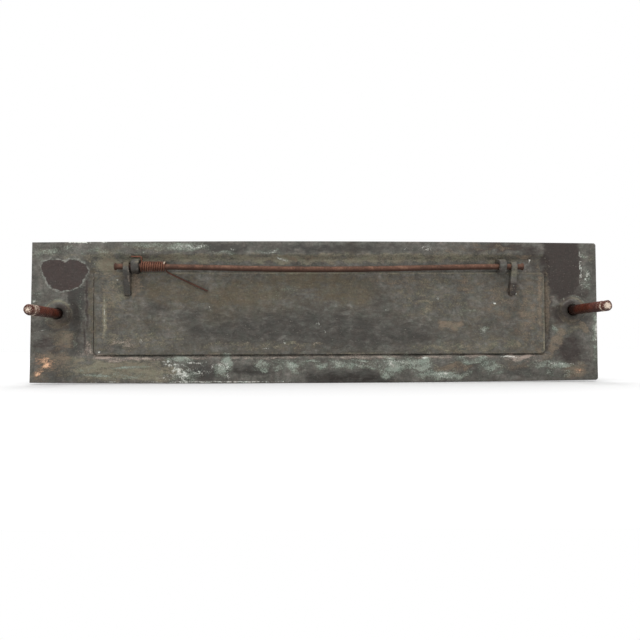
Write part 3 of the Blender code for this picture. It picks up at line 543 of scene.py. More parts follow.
plate = {
    "long": 330, "short": 96, "corner": 10,                     # points on each side and corner
    "borderLeft": 34.4, "borderRight": 30.2, "borderTop": 8.4, "borderBottom": 15.8,
    "runLeft": 4.1, "runRight": 3.0, "runTop": 3.0, "runBottom": 1.8,
    "leanLeft": 1.0, "leanRight": 0.4,                          # the ends lean in towards the top
    "rebateDepth": 2.6, "rebateCorner": 3.0, "wallSoftness": 0.09, "wallPast": 0.25, "cakedTo": 1.1,
    "lipSide": 6.0, "lipBottom": 5.5, "lipTop": 6.0, "openingCorner": 1.5,
    "crown": 1.0, "cornerLeft": 0.4, "cornerRight": 1.6, "edgeBreak": 0.3,
    "bevelWide": 4.0, "bevelDeep": 1.4, "panelProud": 0.8,   # the flap's street panel stands this far out
    "wave": 0.09, "ripple": 0.035, "lumpyWall": 0.12,
}
flapSizes = {
    "edgeGap": 0.4, "topDrop": 3.3, "sunk": 0.7, "flangeFace": 2.3, "edgeRound": 0.3,
    "topCorner": 1.0, "panelGapSide": 0.6, "panelGapTop": 0.6, "panelGapBottom": 1.1, "panelChamfer": 0.8,
    "finInset": 20.9, "wave": 0.1, "ripple": 0.03,
}
floorLow = flapLow[[0, 2]] / mm - flapSizes["edgeGap"]
floorX1 = flapHigh[0] / mm + flapSizes["edgeGap"]
rimTop = plateHigh[2] / mm - plate["borderTop"]
flapTop = hingeZ / mm - flapSizes["topDrop"]
opening = (floorLow[0] + plate["lipSide"], floorX1 - plate["lipSide"],
           floorLow[1] + plate["lipBottom"], flapTop - plate["lipTop"])


def roundedLoop(x0, x1, z0, z1, radii, crown=0.0):
    # once round a rectangle with quarter circles for corners, with the same share of points on every side
    # whatever its size; a crown bends the long edges in towards their ends
    topRight, topLeft, bottomLeft, bottomRight = radii
    quarter = np.linspace(0, math.pi / 2, plate["corner"] + 2)

    def side(start, end, count):
        t = (np.arange(count) + 1) / (count + 1)
        return np.array(start) * (1 - t[:, None]) + np.array(end) * t[:, None]

    def arc(x, z, radius, turn):
        return np.stack((x + radius * np.cos(quarter + turn), z + radius * np.sin(quarter + turn)), -1)

    loop = np.concatenate((
        side((x1, z0 + bottomRight), (x1, z1 - topRight), plate["short"]),
        arc(x1 - topRight, z1 - topRight, topRight, 0),
        side((x1 - topRight, z1), (x0 + topLeft, z1), plate["long"]),
        arc(x0 + topLeft, z1 - topLeft, topLeft, math.pi / 2),
        side((x0, z1 - topLeft), (x0, z0 + bottomLeft), plate["short"]),
        arc(x0 + bottomLeft, z0 + bottomLeft, bottomLeft, math.pi),
        side((x0 + bottomLeft, z0), (x1 - bottomRight, z0), plate["long"]),
        arc(x1 - bottomRight, z0 + bottomRight, bottomRight, 1.5 * math.pi)))
    bend = crown * (loop[:, 0] * mm / plateHigh[0]) ** 2 / (plateHigh[2] / mm)
    loop[:, 1] *= 1 - bend
    return loop


def openingLoop(out):
    x0, x1, z0, z1 = opening
    return roundedLoop(x0 - out, x1 + out, z0 - out, z1 + out, (plate["openingCorner"] + out,) * 4)


def wallLoop(t):
    # 0 is the foot of the rebate's sloping walls and 1 their rim
    return roundedLoop(floorLow[0] - plate["runLeft"] * t, floorX1 + plate["runRight"] * t,
                       floorLow[1] - plate["runBottom"] * t, rimTop - plate["runTop"] * (1 - t),
                       (plate["rebateCorner"],) * 4)


def edgeLoop(inset):
    left, right = (max(plate[side] - inset, 0.15) for side in ("cornerLeft", "cornerRight"))
    loop = roundedLoop(plateLow[0] / mm + inset, plateHigh[0] / mm - inset, plateLow[2] / mm + inset,
                       plateHigh[2] / mm - inset, (right, left, left, right), plate["crown"])
    lean = np.where(loop[:, 0] < 0, plate["leanLeft"], plate["leanRight"])
    loop[:, 0] *= 1 - lean * mm / plateHigh[0] * (0.5 + loop[:, 1] * mm / (2 * plateHigh[2]))
    return loop


def wallFall(t):
    # 0 on the floor, 1 on the rim: a straight ramp whose two ends are rounded off
    soft = plate["wallSoftness"]
    return soft * (np.logaddexp(0, t / soft) - np.logaddexp(0, (t - 1) / soft))


def stack(stations):
    # (loop, depth, waviness, lumpiness) for each station to one grid of points in metres
    grid = np.stack([np.insert(station[0], 1, station[1], axis=1) for station in stations])
    wavy, lumpy = (np.array([s[k] for s in stations])[:, None] for k in (2, 3))
    return grid * mm, wavy, lumpy


def makePlate():
    # loops swept from the opening over the floor, up the sloping wall (a straight ramp rounded at both ends),
    # across the border, round the edge, over the street face and back through the opening
    front = flapHigh[1] / mm - plate["panelProud"]
    past = plate["wallPast"]
    depth = plate["rebateDepth"]
    stations = [(openingLoop(0), depth + 0.3, 0, 0), (openingLoop(0.09), depth + 0.09, 0, 0)]
    for t in np.linspace(0, 1, 9):
        stations.append((blendLoops(openingLoop(0.3), wallLoop(-past), t), depth, 1 if t else 0, 0))
    for t in np.linspace(-past, 1 + past, 19)[1:]:
        loop = wallLoop(t)
        # dirt caked into the foot of the left wall, just clear of the flap
        caked = ease((floorLow[0] + 0.12 - loop[:, 0]) / 0.15) * ease((loop[:, 1] - floorLow[1] + 3) / 4)
        caked *= ease((flapTop - loop[:, 1]) / 2)
        caked *= np.maximum(depth * (1 - wallFall(t)) - plate["cakedTo"], 0)
        stations.append((loop, depth * (1 - wallFall(t)) - caked, 1, 1 - abs(2 * t - 1) if 0 < t < 1 else 0))
    for t in np.linspace(0, 1, 27)[1:]:
        stations.append((blendLoops(wallLoop(1 + past), edgeLoop(0.9), t), 0.02 * t ** 8, 1, 0))
    stations += [(edgeLoop(0.45), 0.05, 0.8, 0), (edgeLoop(0.2), 0.12, 0.5, 0), (edgeLoop(0.05), 0.26, 0, 0)]
    for y in np.linspace(0.5, front - plate["bevelDeep"] - 0.2, 4):
        stations.append((edgeLoop(0), y, 0, 0))
    for t in np.linspace(0, 1, 9):
        stations.append((edgeLoop(0.08 + plate["bevelWide"] * t),
                         front - plate["bevelDeep"] * (1 - t) ** 1.15, 0, 0))
    for t in np.linspace(0, 1, 20)[1:]:
        stations.append((blendLoops(edgeLoop(0.08 + plate["bevelWide"]), openingLoop(0.4), t),
                         front, -0.5, 0))
    stations += [(openingLoop(0.12), front - 0.12, 0, 0), (openingLoop(0), front - 0.4, 0, 0),
                 (openingLoop(0), front - 1.2, 0, 0)]
    grid, wavy, lumpy = stack(stations)
    shift = wavy * (plate["wave"] * softNoise(grid, 26 * mm, 1)
                    + plate["ripple"] * softNoise(grid, 5 * mm, 2))
    shift = np.where(wavy < 0, -np.abs(shift), shift)   # the street face only ever dips, to stay in its box
    grid[..., 1] += mm * (shift + lumpy * plate["lumpyWall"] * softNoise(grid, 2.2 * mm, 3))
    piece = makeSurface("plate_casting", grid, around=True, along=True)
    # pale rose on the foot of the left wall, in the narrow gap beside the flap: painted light against the
    # gap's shade
    paintPatina(piece, {"rose": lambda p: 0.5 * np.exp(-((p[:, 0] - floorLow[0] + 0.1) / 0.35) ** 2)
                        * (np.abs(p[:, 2]) < flapTop)})
    dress(piece, bronze, "plate", "bronze", "face_plate")


makePlate()
print("plate made")


# Bosses round the studs

boss = {
    "around": 72,
    "profile": (   # radius and height over the plate, mm, from under the skirt to the bottom of the hole
        (0.0, -2.6), (6.0, -2.4), (11.2, -0.35), (10.4, -0.1), (9.6, 0.04), (9.0, 0.14), (8.5, 0.36),
        (8.15, 0.72), (7.85, 1.2), (7.45, 1.7), (6.95, 2.18), (6.3, 2.58), (5.6, 2.84), (4.95, 2.97),
        (4.4, 3.0), (3.95, 2.97), (3.65, 2.86), (3.5, 2.65), (3.475, 2.2), (3.475, 0.6), (3.475, -1.8),
        (3.0, -2.1), (0.0, -2.2)),
    "lump": 0.1,
}


def makeBoss(name, stud):
    # a profile turned once round the stud, its outside pushed in and out by noise
    low, high = (np.array(corner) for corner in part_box(stud))
    midX, midZ = (low[0] + high[0]) / 2, (low[2] + high[2]) / 2
    radius, height = np.array(boss["profile"]).T * mm
    steps = np.linspace(0, len(radius) - 1, 3 * len(radius) - 2)
    radius, height = (np.interp(steps, np.arange(len(v)), v) for v in (radius, height))
    turn = np.linspace(0, 2 * math.pi, boss["around"], endpoint=False)
    grid = np.stack((midX + radius[:, None] * np.cos(turn), -height[:, None] + 0 * turn,
                     midZ + radius[:, None] * np.sin(turn)), -1)
    outside = ease((radius / mm - 3.6) / 1.5)[:, None, None] * (height > -0.3 * mm)[:, None, None]
    push = boss["lump"] * mm * softNoise(grid, 5 * mm, 5)[..., None]
    middle = np.array((midX, 0.5 * mm, midZ))
    away = (grid - middle) / np.maximum(np.linalg.norm(grid - middle, axis=-1, keepdims=True), 1e-9)
    piece = makeSurface(name, grid + away * (push - boss["lump"] * mm) * outside)

    inward = -np.sign(midX)

    def ring(mid, wide, strength, towards=0.0):
        # a ring of level round the hole, stronger on the side that lies in the given direction, in degrees
        # from the plate's middle
        side = math.radians(towards)

        def level(p):
            dx, dz = (p[:, 0] - midX / mm) * inward, p[:, 2] - midZ / mm
            far = np.maximum(np.hypot(dx, dz), 1e-6)
            facing = 0.5 + 0.5 * (dx * math.cos(side) + dz * math.sin(side)) / far
            return strength * facing ** 0.8 * np.exp(-((far - mid) / wide) ** 2)

        return level

    # pitch and plum darken the side towards the plate's middle as painted shadow round the stud's root; straw
    # and verdigris across the top are a painted highlight arc; olive and tan lie towards the middle and down
    paintPatina(piece, {"pitch": ring(4.2, 2.2, 0.8, -30), "straw": ring(7.8, 1.4, 0.8, 100),
                        "olive": ring(6.0, 3.5, 1.0, -60),
                        "verdigris": ring(9.2, 0.8, 0.5, 100), "plum": ring(5.0, 2.4, 1.2, 0),
                        "tan": ring(8.0, 4.0, 0.5, -60)})
    dress(piece, bronze, "plate", "bronze")


makeBoss("boss_left", "stud_left")
makeBoss("boss_right", "stud_right")
print("bosses made")


# Lugs on the plate and fins on the flap

eyes = {
    "bore": 2.1, "edgeRound": 0.7, "points": 150, "rough": 0.06, "outlineRound": 3,
    "finRadius": 3.15, "finThick": 3.8, "finReach": 14.5, "finToe": 1.6, "finFlare": 0.5,
    "lugRadius": 4.6, "lugThick": 4.6, "lugRise": 1.0, "lugGap": 1.2, "lugFlare": 0.5,
    "playLeft": 1.3, "playRight": 3.2, "sink": 0.6, "flareFade": 0.7,
}
finX = {"left": flapLow[0] / mm + flapSizes["finInset"], "right": flapHigh[0] / mm - flapSizes["finInset"]}
lugOffset = (eyes["finThick"] + eyes["lugThick"]) / 2
lugX = {"left": finX["left"] + lugOffset + eyes["playLeft"],
        "right": finX["right"] - lugOffset - eyes["playRight"]}


def tangentAngle(radius, y, z, side):
    # where a line from (y, z) touches a circle round the hinge
    dy, dz = y - hingeY / mm, z - hingeZ / mm
    return math.atan2(dz, dy) + side * math.acos(radius / math.hypot(dy, dz))


def eyeOutline(radius, rootY, top, toe, toeHeight=0.0):
    # the eye's arc, then straight down to the toe and along under the surface that it stands on
    start = tangentAngle(radius, rootY, top, 1)
    end = tangentAngle(radius, rootY - toeHeight, toe, -1) + 2 * math.pi
    arc = np.linspace(start, end, 60)
    sunk = rootY + eyes["sink"]
    outline = np.concatenate((
        np.stack((hingeY / mm + radius * np.cos(arc), hingeZ / mm + radius * np.sin(arc)), -1),
        [(rootY - toeHeight, toe), (sunk, toe), (sunk, top), (rootY, top)]))
    outline = np.vstack((outline, outline[:1]))
    far = np.concatenate(([0], np.cumsum(np.linalg.norm(np.diff(outline, axis=0), axis=1))))
    even = np.linspace(0, far[-1], eyes["points"], endpoint=False)
    even = np.stack([np.interp(even, far, outline[:, k]) for k in (0, 1)], -1)
    for _ in range(eyes["outlineRound"]):
        even = (np.roll(even, 1, 0) + 2 * even + np.roll(even, -1, 0)) / 4
    return even


def makeEye(name, x, thick, outline, rootY, flare, body, seed, skin):
    # sections across the outline: bore, cheek, rounded rim, other cheek, all round and closed on itself
    middle = np.array((hingeY, hingeZ)) / mm
    reach = np.linalg.norm(outline - middle, axis=1)
    outward = (outline - middle) / reach[:, None]
    bore, edge, half = eyes["bore"], eyes["edgeRound"], thick / 2
    rim = np.linspace(0, math.pi / 2, 6)
    across = [(-half + 0.3, bore, 0), (-half + 0.08, bore + 0.08, 0), (-half, bore + 0.3, 0),
              (-half, None, 0.4), (-half, None, 0.75)]
    across += [(-half + edge * (1 - math.cos(a)), "rim", edge * (1 - math.sin(a))) for a in rim]
    across += [(flat, "rim", 0) for flat in np.linspace(-half + edge, half - edge, 5)[1:-1]]
    mirrored = [(-a, b, c) for a, b, c in reversed(across[:11])]
    rows = []
    for side, kind, amount in across + mirrored + [(half * 0.4, bore, 0), (-half * 0.4, bore, 0)]:
        if kind == "rim":
            far = reach - amount
        elif kind is None:
            far = bore + 0.3 + (reach - edge - bore - 0.3) * amount
        else:
            far = np.full(len(reach), kind)
        place = middle + outward * far[:, None]
        rows.append(np.stack((np.full(len(reach), side), place[:, 0], place[:, 1]), -1))
    grid = np.stack(rows)
    lift = np.maximum(rootY - grid[..., 1], 0)
    grid[..., 0] *= 1 + flare / half * np.exp(-lift / eyes["flareFade"])
    grid[..., 0] += x
    outer = ease((np.linalg.norm(grid[..., 1:] - middle, axis=-1) - bore - 0.3) / 0.8)
    for k in range(3):
        grid[..., k] += outer * eyes["rough"] * softNoise(grid, 2.4, seed + k)
    piece = makeSurface(name, grid * mm, around=True, along=True)
    # the skin levels can hold painted shade and highlight as well as patina
    paintPatina(piece, skin)
    dress(piece, bronze, body, "bronze")


finOutline = eyeOutline(eyes["finRadius"], flapSizes["sunk"], flapTop - flapSizes["edgeRound"],
                        flapTop - eyes["finReach"], eyes["finToe"])
lugOutline = eyeOutline(eyes["lugRadius"], plate["rebateDepth"],
                        hingeZ / mm + eyes["lugRadius"] + eyes["lugRise"], flapTop + eyes["lugGap"])
# the left fin's web and the left lug's underside are darkened as painted shade, and the tops of the fins'
# eyes and of the left lug are painted paler as a painted highlight; the right lug is plain slate and plum,
# and the right fin turns plum towards its toe
finSkinAndShade = {"slate": lambda p: 0.95 * ease((27.5 - p[:, 2]) / 3),
           "pitch": lambda p: 0.35 * ease((26 - p[:, 2]) / 3),
           "olive": lambda p: 0.9 * ease((p[:, 2] - 27) / 2)}
lugSkinAndShade = {"slate": lambda p: 0.8 + 0 * p[:, 2], "pitch": lambda p: 0.7 * ease((26.8 - p[:, 2]) / 2.2),
           "straw": lambda p: 0.45 * ease((p[:, 2] - 30.5) / 2)}
finSkinsAndShade = {"left": finSkinAndShade, "right": {"straw": lambda p: 0.5 * ease((p[:, 2] - 18) / 5),
                                       "slate": lambda p: 0.4 + 0 * p[:, 0],
                                       "plum": lambda p: 1.0 * ease((19.5 - p[:, 2]) / 3)}}
lugSkinsAndShade = {"left": lugSkinAndShade, "right": {"slate": lambda p: 0.5 + 0 * p[:, 2],
                                       "plum": lambda p: 0.4 + 0 * p[:, 0]}}
for side, seed in (("left", 11), ("right", 21)):
    makeEye("flap_fin_" + side, finX[side], eyes["finThick"], finOutline, flapSizes["sunk"], eyes["finFlare"],
            "flap", seed, finSkinsAndShade[side])
    makeEye("rod_lug_" + side, lugX[side], eyes["lugThick"], lugOutline, plate["rebateDepth"],
            eyes["lugFlare"], "plate", seed + 5, lugSkinsAndShade[side])
print("lugs and fins made")


# The flap

def flapLoop(inset):
    corner = max(flapSizes["topCorner"] - inset, 0.2)
    bottom = max(plate["rebateCorner"] - inset, 0.2)
    return roundedLoop(flapLow[0] / mm + inset, flapHigh[0] / mm - inset, flapLow[2] / mm + inset,
                       flapTop - inset, (corner, corner, bottom, bottom))


def panelLoop(inset):
    x0, x1, z0, z1 = opening
    return roundedLoop(x0 + flapSizes["panelGapSide"] + inset, x1 - flapSizes["panelGapSide"] - inset,
                       z0 + flapSizes["panelGapBottom"] + inset, z1 - flapSizes["panelGapTop"] - inset,
                       (plate["openingCorner"],) * 4)


def spineOf(loop):
    # the line down the middle of a loop that its points shrink to
    low, high = loop.min(0), loop.max(0)
    half = (high[1] - low[1]) / 2
    return np.stack((np.clip(loop[:, 0], low[0] + half, high[0] - half),
                     np.full(len(loop), low[1] + half)), -1)


def makeFlap():
    # loops swept out from a middle line over the room face, round the edge to the flange, and over the panel
    s = flapSizes
    face = flapHigh[1] / mm
    inner, outer = flapLoop(0.6), panelLoop(s["panelChamfer"])
    stations = [(blendLoops(spineOf(inner), inner, t), s["sunk"], 1, 0) for t in np.linspace(0, 1, 26)]
    stations += [(flapLoop(0.3), s["sunk"] + 0.04, 0.8, 0), (flapLoop(0.09), s["sunk"] + 0.13, 0.4, 0),
                 (flapLoop(0.02), s["sunk"] + 0.32, 0, 0), (flapLoop(0), s["sunk"] + 0.55, 0, 0),
                 (flapLoop(0), s["flangeFace"] - 0.3, 0, 0),
                 (flapLoop(0.2), s["flangeFace"], 0, 0)]
    for t in np.linspace(0, 1, 6)[1:]:
        stations.append((blendLoops(flapLoop(0.2), panelLoop(0), t), s["flangeFace"], 0, 0))
    for y in np.linspace(s["flangeFace"], face - s["panelChamfer"], 4)[1:]:
        stations.append((panelLoop(0), y, 0, 0))
    for t in (0.3, 0.65, 1):
        stations.append((panelLoop(s["panelChamfer"] * t), face - s["panelChamfer"] * (1 - t), 0, 0))
    stations += [(blendLoops(outer, spineOf(outer), t), face, -0.4, 0) for t in np.linspace(0, 1, 22)[1:]]
    grid, wavy, _ = stack(stations)
    shift = wavy * (s["wave"] * softNoise(grid, 34 * mm, 31) + s["ripple"] * softNoise(grid, 4 * mm, 32))
    grid[..., 1] += mm * np.where(wavy < 0, -np.abs(shift), shift)
    piece = makeSurface("flap_casting", grid)

    def paintedEdgeHighlight(p):
        # painted highlight: paler along the top, right and bottom edges of the room face
        toTop, toRight, toBottom = flapTop - p[:, 2], flapHigh[0] / mm - p[:, 0], p[:, 2] - flapLow[2] / mm
        return (np.exp(-(toTop / 0.9) ** 2) * 0.8 + np.exp(-((toRight - 0.5) / 0.9) ** 2) * 0.7
                + np.exp(-(toBottom / 0.8) ** 2) * 0.5) * (p[:, 1] < 2)

    paintPatina(piece, {"straw": paintedEdgeHighlight, "olive": lambda p: 0.36 + 0 * p[:, 0],
                        # pale rose on the flap's left side face, in the gap: painted light against the gap's
                        # shade
                        "rose": lambda p: (0.5 * ease((flapLow[0] / mm + 0.35 - p[:, 0]) / 0.3)
                                           * (p[:, 1] < 2.4))})
    dress(piece, bronze, "flap", "bronze", "flap")


makeFlap()
print("flap made")


# The rod

rod = {
    "radius": 1.8, "headSpread": 0.6, "headLength": 1.6, "bow": 1.65, "bowPower": 1.6,
    "along": 620, "around": 26, "pit": 0.05, "dent": 0.05,
}


def capRows(rows):
    # closes both ends of a tube by gathering a copy of each end ring to its middle
    first, last = (np.repeat(rows[k].mean(0, keepdims=True), rows.shape[1], 0)[None] for k in (0, -1))
    return np.concatenate((first, rows, last))


def makeRod():
    # a circle swept along a line that sags by a sine raised to a power, wider at the ends, eaten by noise
    s = rod
    x = np.linspace(rodLow[0], rodHigh[0], s["along"]) / mm
    span0, span1 = lugX["left"] + eyes["lugThick"] / 2, lugX["right"] - eyes["lugThick"] / 2
    sag = s["bow"] * np.sin(math.pi * np.clip((x - span0) / (span1 - span0), 0, 1)) ** s["bowPower"]
    fromEnd = np.minimum(x - x[0], x[-1] - x)
    head = s["headSpread"] * (1 - ease((fromEnd - 0.5 * s["headLength"]) / (0.7 * s["headLength"])))
    domed = np.sqrt(np.clip(1 - (1 - np.clip(fromEnd / 0.5, 0, 1)) ** 2, 0.0, 1))   # rounded end faces
    radius = (s["radius"] + head) * (0.72 + 0.28 * domed)
    turn = np.linspace(0, 2 * math.pi, s["around"], endpoint=False)
    around = np.stack((0 * turn, np.cos(turn), np.sin(turn)), -1)
    middle = np.stack((x, np.full(len(x), hingeY / mm), hingeZ / mm - sag), -1)
    places = middle[:, None] + radius[:, None, None] * around
    rough = s["pit"] * (softNoise(places, 1.3, 41) - 1) + s["dent"] * (softNoise(places, 9.0, 42) - 1)
    grid = middle[:, None] + (radius[:, None] + 0.6 * np.minimum(rough, 0))[..., None] * around
    piece = makeSurface("hinge_rod_bent", capRows(grid) * mm)
    got = pointsOf(piece) / mm
    middleZ = np.interp(got[:, 0], x, hingeZ / mm - sag)
    # painted shadow in the narrow gap between the left fin and lug, painted shade along the underside, darker
    # towards the left end; the faint pale level on the upper side is a painted highlight
    nearEye = np.exp(-((got[:, 0] - (finX["left"] + lugX["left"]) / 2) / 1.5) ** 2)
    below = ease((middleZ + 0.4 - got[:, 2]) / 1.6)
    leftEnd = 0.7 * ease((x[0] + 4 - got[:, 0]) / 3)
    storeValue(piece, "grime_and_shade", np.maximum.reduce((0.85 * below, nearEye, leftEnd)))
    storeValue(piece, "wear_and_glint", 0.08 * (1 - below))
    dress(piece, rodIron, "plate", "iron", "hinge_rod")


makeRod()
print("rod made")


# The spring

spring = {
    "wire": 0.5, "coil": 2.75, "pitch": 1.38, "turns": 11, "stepsPerTurn": 30, "around": 12,
    "legBend": 1.2, "legPast": 1.0, "gap": 0.35,
    "tailLong": 25.6, "tailDrop": 15.0, "tailBendRun": 3.0, "tailBendDrop": 4.4,
    "pit": 0.03,
}


def throughPoints(points, steps):
    # Catmull-Rom curve through the points, worked out for every span at once
    points = np.array(points, float)
    p = np.vstack((2 * points[0] - points[1], points, 2 * points[-1] - points[-2]))
    t = (np.arange(steps) / steps)[None, :, None]
    a, b, c, d = (p[k:len(p) - 3 + k, None] for k in range(4))
    curve = 0.5 * (2 * b + (c - a) * t + (2 * a - 5 * b + 4 * c - d) * t ** 2
                   + (3 * b - a - 3 * c + d) * t ** 3)
    return np.vstack((curve.reshape(-1, 3), points[-1]))


def makeSpring():
    # a circle swept along a straight leg, a helix of one pitch a turn round the rod, and a curved tail
    s = spring
    y0, z0 = hingeY / mm, hingeZ / mm
    coilX0 = lugX["left"] + eyes["lugThick"] / 2 + s["gap"] + s["wire"]
    coilX1 = coilX0 + s["pitch"] * s["turns"]
    legZ = z0 + eyes["lugRadius"] + eyes["lugRise"] + s["gap"] + s["wire"]
    bend = np.linspace(math.pi / 2, 0, 10)
    legEnd = lugX["left"] - eyes["lugThick"] / 2 - s["legPast"]
    flat = np.stack((np.linspace(legEnd, coilX0 - s["legBend"], 12)[:-1], np.full(11, legZ)), -1)
    curved = np.stack((coilX0 - s["legBend"] + s["legBend"] * np.cos(bend),
                       legZ - s["legBend"] + s["legBend"] * np.sin(bend)), -1)
    down = np.stack((np.full(9, coilX0), np.linspace(curved[-1, 1], z0, 10)[1:]), -1)
    leg = np.insert(np.vstack((flat, curved, down[:-1])), 1, y0 + s["coil"], axis=1)
    steps = np.arange(s["turns"] * s["stepsPerTurn"] + 1)
    angle = -2 * math.pi * steps / s["stepsPerTurn"]
    coil = np.stack((coilX0 + s["pitch"] * steps / s["stepsPerTurn"], y0 + s["coil"] * np.cos(angle),
                     z0 + s["coil"] * np.sin(angle)), -1)
    tip = np.array((coilX1 + s["tailLong"], flapSizes["sunk"] - s["gap"] - s["wire"], z0 - s["tailDrop"]))
    start = coil[-1]
    turnAt = np.array((coilX1 + s["tailBendRun"], (start[1] + tip[1]) / 2, z0 - s["tailBendDrop"]))
    tail = throughPoints((start, start + (0, 0, -s["coil"] / 2), turnAt, tip), 14)[1:]
    path = np.vstack((leg, coil, tail))
    # the ring's first direction points away from the rod on the coil, and to the street on both legs
    outward = np.tile((0.0, 1.0, 0.0), (len(path), 1))
    onCoil = slice(len(leg), len(leg) + len(coil))
    outward[onCoil] = np.stack((0 * angle, np.cos(angle), np.sin(angle)), -1)
    along = np.gradient(path, axis=0)
    along /= np.linalg.norm(along, axis=1, keepdims=True)
    aside = np.cross(along, outward)
    aside /= np.linalg.norm(aside, axis=1, keepdims=True)
    outward = np.cross(aside, along)
    turn = np.linspace(0, 2 * math.pi, s["around"], endpoint=False)
    ring = np.cos(turn)[None, :, None] * outward[:, None] + np.sin(turn)[None, :, None] * aside[:, None]
    far = s["wire"] + s["pit"] * np.minimum(softNoise(path[:, None] + s["wire"] * ring, 1.1, 51), 0)
    piece = makeSurface("return_spring_wound", capRows(path[:, None] + far[..., None] * ring) * mm)
    places = pointsOf(piece) / mm
    # a painted glint: pale on top of the last turn
    lastTurn = np.exp(-((places[:, 0] - coilX1 + 0.7) / 1.0) ** 2) * ease((places[:, 2] - z0) / 2)
    storeValue(piece, "wear_and_glint", 0.06 + 0.85 * lastTurn)
    # painted shade: darker on the coil below the rod; the tail is darker all along
    onTail = ease((places[:, 0] - coilX1 - 1) / 4)
    below = ease((z0 + 0.5 - places[:, 2]) / 3)
    storeValue(piece, "grime_and_shade", np.maximum(0.55 * below * (1 - onTail), 0.6 * onTail))
    piece.data.materials.append(springIron)
    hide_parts("return_spring")
    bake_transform(piece)


makeSpring()
print("spring made")


# The studs

studs = {
    "pitch": 1.27, "depth": 0.62, "around": 56, "samples": 9, "tip": 0.8,
    "shank": 0.1, "pit": 0.06,
    "left": {"threaded": 35.3, "crestWearAndGlint": 0.6, "rootFrom": -13, "seed": 61},
    "right": {"threaded": 20.5, "crestWearAndGlint": 0.68, "rootFrom": -17, "seed": 66},
}


def makeStud(side):
    # radius is a function of the turn and the distance along: a V that climbs one pitch each turn, fading
    # into a plain shank, chamfered at the tip and eaten by rust
    s, own = studs, studs[side]
    low, high = (np.array(corner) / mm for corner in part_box("stud_" + side))
    midX, midZ, radius = (low[0] + high[0]) / 2, (low[2] + high[2]) / 2, (high[0] - low[0]) / 2
    along = np.arange(low[1], high[1], s["pitch"] / s["samples"])
    along = np.concatenate((low[1] + np.array((0, 0.05, 0.1)), along[2:], high[1:2]))
    turn = np.linspace(0, 2 * math.pi, s["around"], endpoint=False)
    phase = (along[:, None] / s["pitch"] + turn / (2 * math.pi)) % 1
    vee = np.clip(1.25 * np.abs(2 * phase - 1) - 0.05, 0, 1)   # 0 in the root, 1 on a flattened crest
    fade = 1 - ease((along - low[1] - own["threaded"]) / 1.6)[:, None]
    middle = np.stack((np.full(len(along), midX), along, np.full(len(along), midZ)), -1)
    around = np.stack((np.cos(turn), 0 * turn, np.sin(turn)), -1)
    places = middle[:, None] + radius * around
    crumble = softNoise(places, 3.2, own["seed"])
    groove = s["depth"] * (1 - vee) * fade * np.clip(0.95 - 0.35 * crumble, 0.3, 1.0)
    eaten = s["pit"] * (1 - softNoise(places, 1.0, own["seed"] + 1)) + 0.05 * (1 - crumble)
    chamfer = np.clip(s["tip"] - (along - low[1]), 0, None)[:, None] * 1.15
    far = np.clip(radius - 0.02 - groove - eaten - chamfer - s["shank"] * (1 - fade), 0.3, radius)
    grid = middle[:, None] + far[..., None] * around
    face = (grid[0] - middle[0])[None] * np.array((0.35, 0.7, 0.9))[:, None, None] + middle[0]
    grid = np.concatenate((face, grid))
    piece = makeSurface("stud_" + side + "_threaded", capRows(grid) * mm)
    got = pointsOf(piece) / mm
    crest = np.hypot(got[:, 0] - midX, got[:, 2] - midZ) / radius
    onThread = 1 - ease((got[:, 1] - low[1] - own["threaded"]) / 2)
    nearTip = 1 - ease((got[:, 1] - low[1]) / own["threaded"])
    # pale bare metal on the worn crests near the tip and on the tip face, broken into bands that also serve
    # as painted glints
    wear_and_glint = own["crestWearAndGlint"] * onThread * (0.35 + 0.65 * nearTip) * ease((crest - 0.8) / 0.16)
    wear_and_glint *= 0.75 + 0.5 * softNoise(got * (0.3, 1, 0.3), 4.5, own["seed"] + 2)
    wear_and_glint = np.maximum(wear_and_glint, (own["crestWearAndGlint"] + 0.35 - 0.7 * crest) * (got[:, 1] < low[1] + 0.9))
    # painted shade: darker underneath and towards the plate, where shadow falls round the root
    below = ease((midZ - 0.3 - got[:, 2]) / 2.4)
    root = ease((got[:, 1] - own["rootFrom"]) / 9)
    storeValue(piece, "wear_and_glint", wear_and_glint)
    storeValue(piece, "grime_and_shade", np.maximum(0.75 * below, 0.95 * root))
    dress(piece, studIron, "plate", "iron", "stud_" + side)


makeStud("left")
makeStud("right")
print("studs made")


# Floor, light and camera

studio = {
    "floorHalf": 4.0, "floorColour": "e4e4e4", "fibreColour": "e0e0e0", "fibre": 900.0,
    "greyTo": 0.1, "whiteFrom": 0.6, "world": 1.0,
    "keyPlace": (-0.1, -0.55, 1.3), "keySize": 0.7, "keyPower": 9.0,
}
view = {"place": (-18.99, -496.42, -21.56), "pitch": 1.896, "roll": 0.208, "yaw": -2.347, "lens": 44.66}

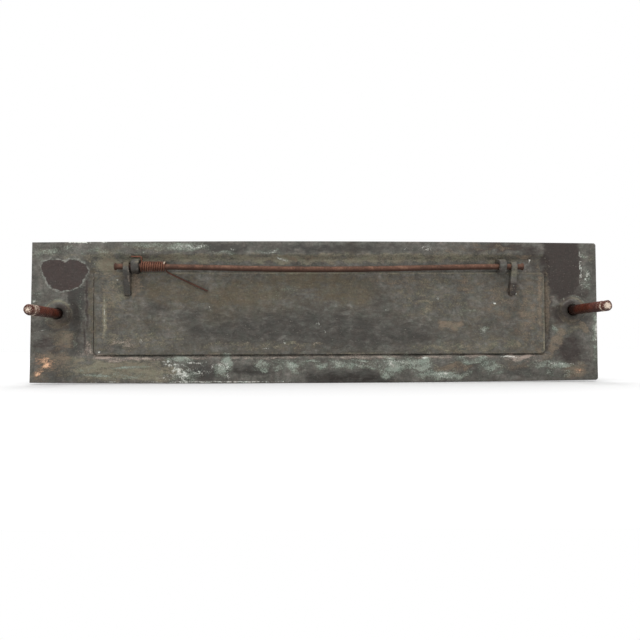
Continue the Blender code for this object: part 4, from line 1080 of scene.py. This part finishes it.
reach = studio["floorHalf"]
floorMesh = bpy.data.meshes.new("floor")
corners = ((-reach, -reach), (reach, -reach), (reach, reach), (-reach, reach))
floorMesh.from_pydata([(x, y, cadLow[2] - 0.05 * mm) for x, y in corners], [], [(0, 1, 2, 3)])
floor = bpy.data.objects.new("floor", floorMesh)
bpy.context.scene.collection.objects.link(floor)
paper, tree, shader = newMaterial("matt_white_paper")
fibre = addNode(tree, "ShaderNodeTexNoise", {"Vector": addNode(tree, "ShaderNodeTexCoord").outputs["Object"],
                                            "Scale": studio["fibre"], "Detail": 3.0}).outputs[0]
# painted shade: the paper is greyer round the plate and turns white further out
away = addNode(tree, "ShaderNodeVectorMath", {0: addNode(tree, "ShaderNodeTexCoord").outputs["Object"]},
               operation="LENGTH").outputs["Value"]
away = addNode(tree, "ShaderNodeMapRange", {0: away, 1: studio["greyTo"], 2: studio["whiteFrom"],
                                                 3: 0.0, 4: 1.0}, interpolation_type="SMOOTHSTEP").outputs[0]
near = addNode(tree, "ShaderNodeMix", {0: fibre, 6: (*linear(studio["fibreColour"]), 1),
                                       7: (*linear(studio["floorColour"]), 1)}, data_type="RGBA").outputs[2]
tint = addNode(tree, "ShaderNodeMix", {0: away, 6: near, 7: (1, 1, 1, 1)}, data_type="RGBA").outputs[2]
tree.links.new(tint, shader.inputs["Base Color"])
shader.inputs["Roughness"].default_value = 0.9
shader.inputs["Specular IOR Level"].default_value = 0.1
floorMesh.materials.append(paper)

world = bpy.data.worlds.new("white_tent")
world.use_nodes = True
world.node_tree.nodes["Background"].inputs["Color"].default_value = (1, 1, 1, 1)
world.node_tree.nodes["Background"].inputs["Strength"].default_value = studio["world"]
bpy.context.scene.world = world

key = bpy.data.lights.new("key_softbox", "AREA")
key.shape, key.size, key.energy = "SQUARE", studio["keySize"], studio["keyPower"]
keyObject = bpy.data.objects.new("key_softbox", key)
keyObject.location = studio["keyPlace"]
keyObject.rotation_mode = "QUATERNION"
keyObject.rotation_quaternion = (-keyObject.location).to_track_quat("-Z", "Y")
bpy.context.scene.collection.objects.link(keyObject)

lens = bpy.data.cameras.new("camera")
lens.sensor_fit, lens.sensor_width, lens.lens = "HORIZONTAL", 36, view["lens"]
camera = bpy.data.objects.new("camera", lens)
camera.location = [v * mm for v in view["place"]]
camera.rotation_euler = [math.radians(a) for a in (90 + view["pitch"], view["roll"], view["yaw"])]
bpy.context.scene.collection.objects.link(camera)
bpy.context.scene.camera = camera
bpy.context.scene.view_settings.view_transform = "Standard"
print("studio made")
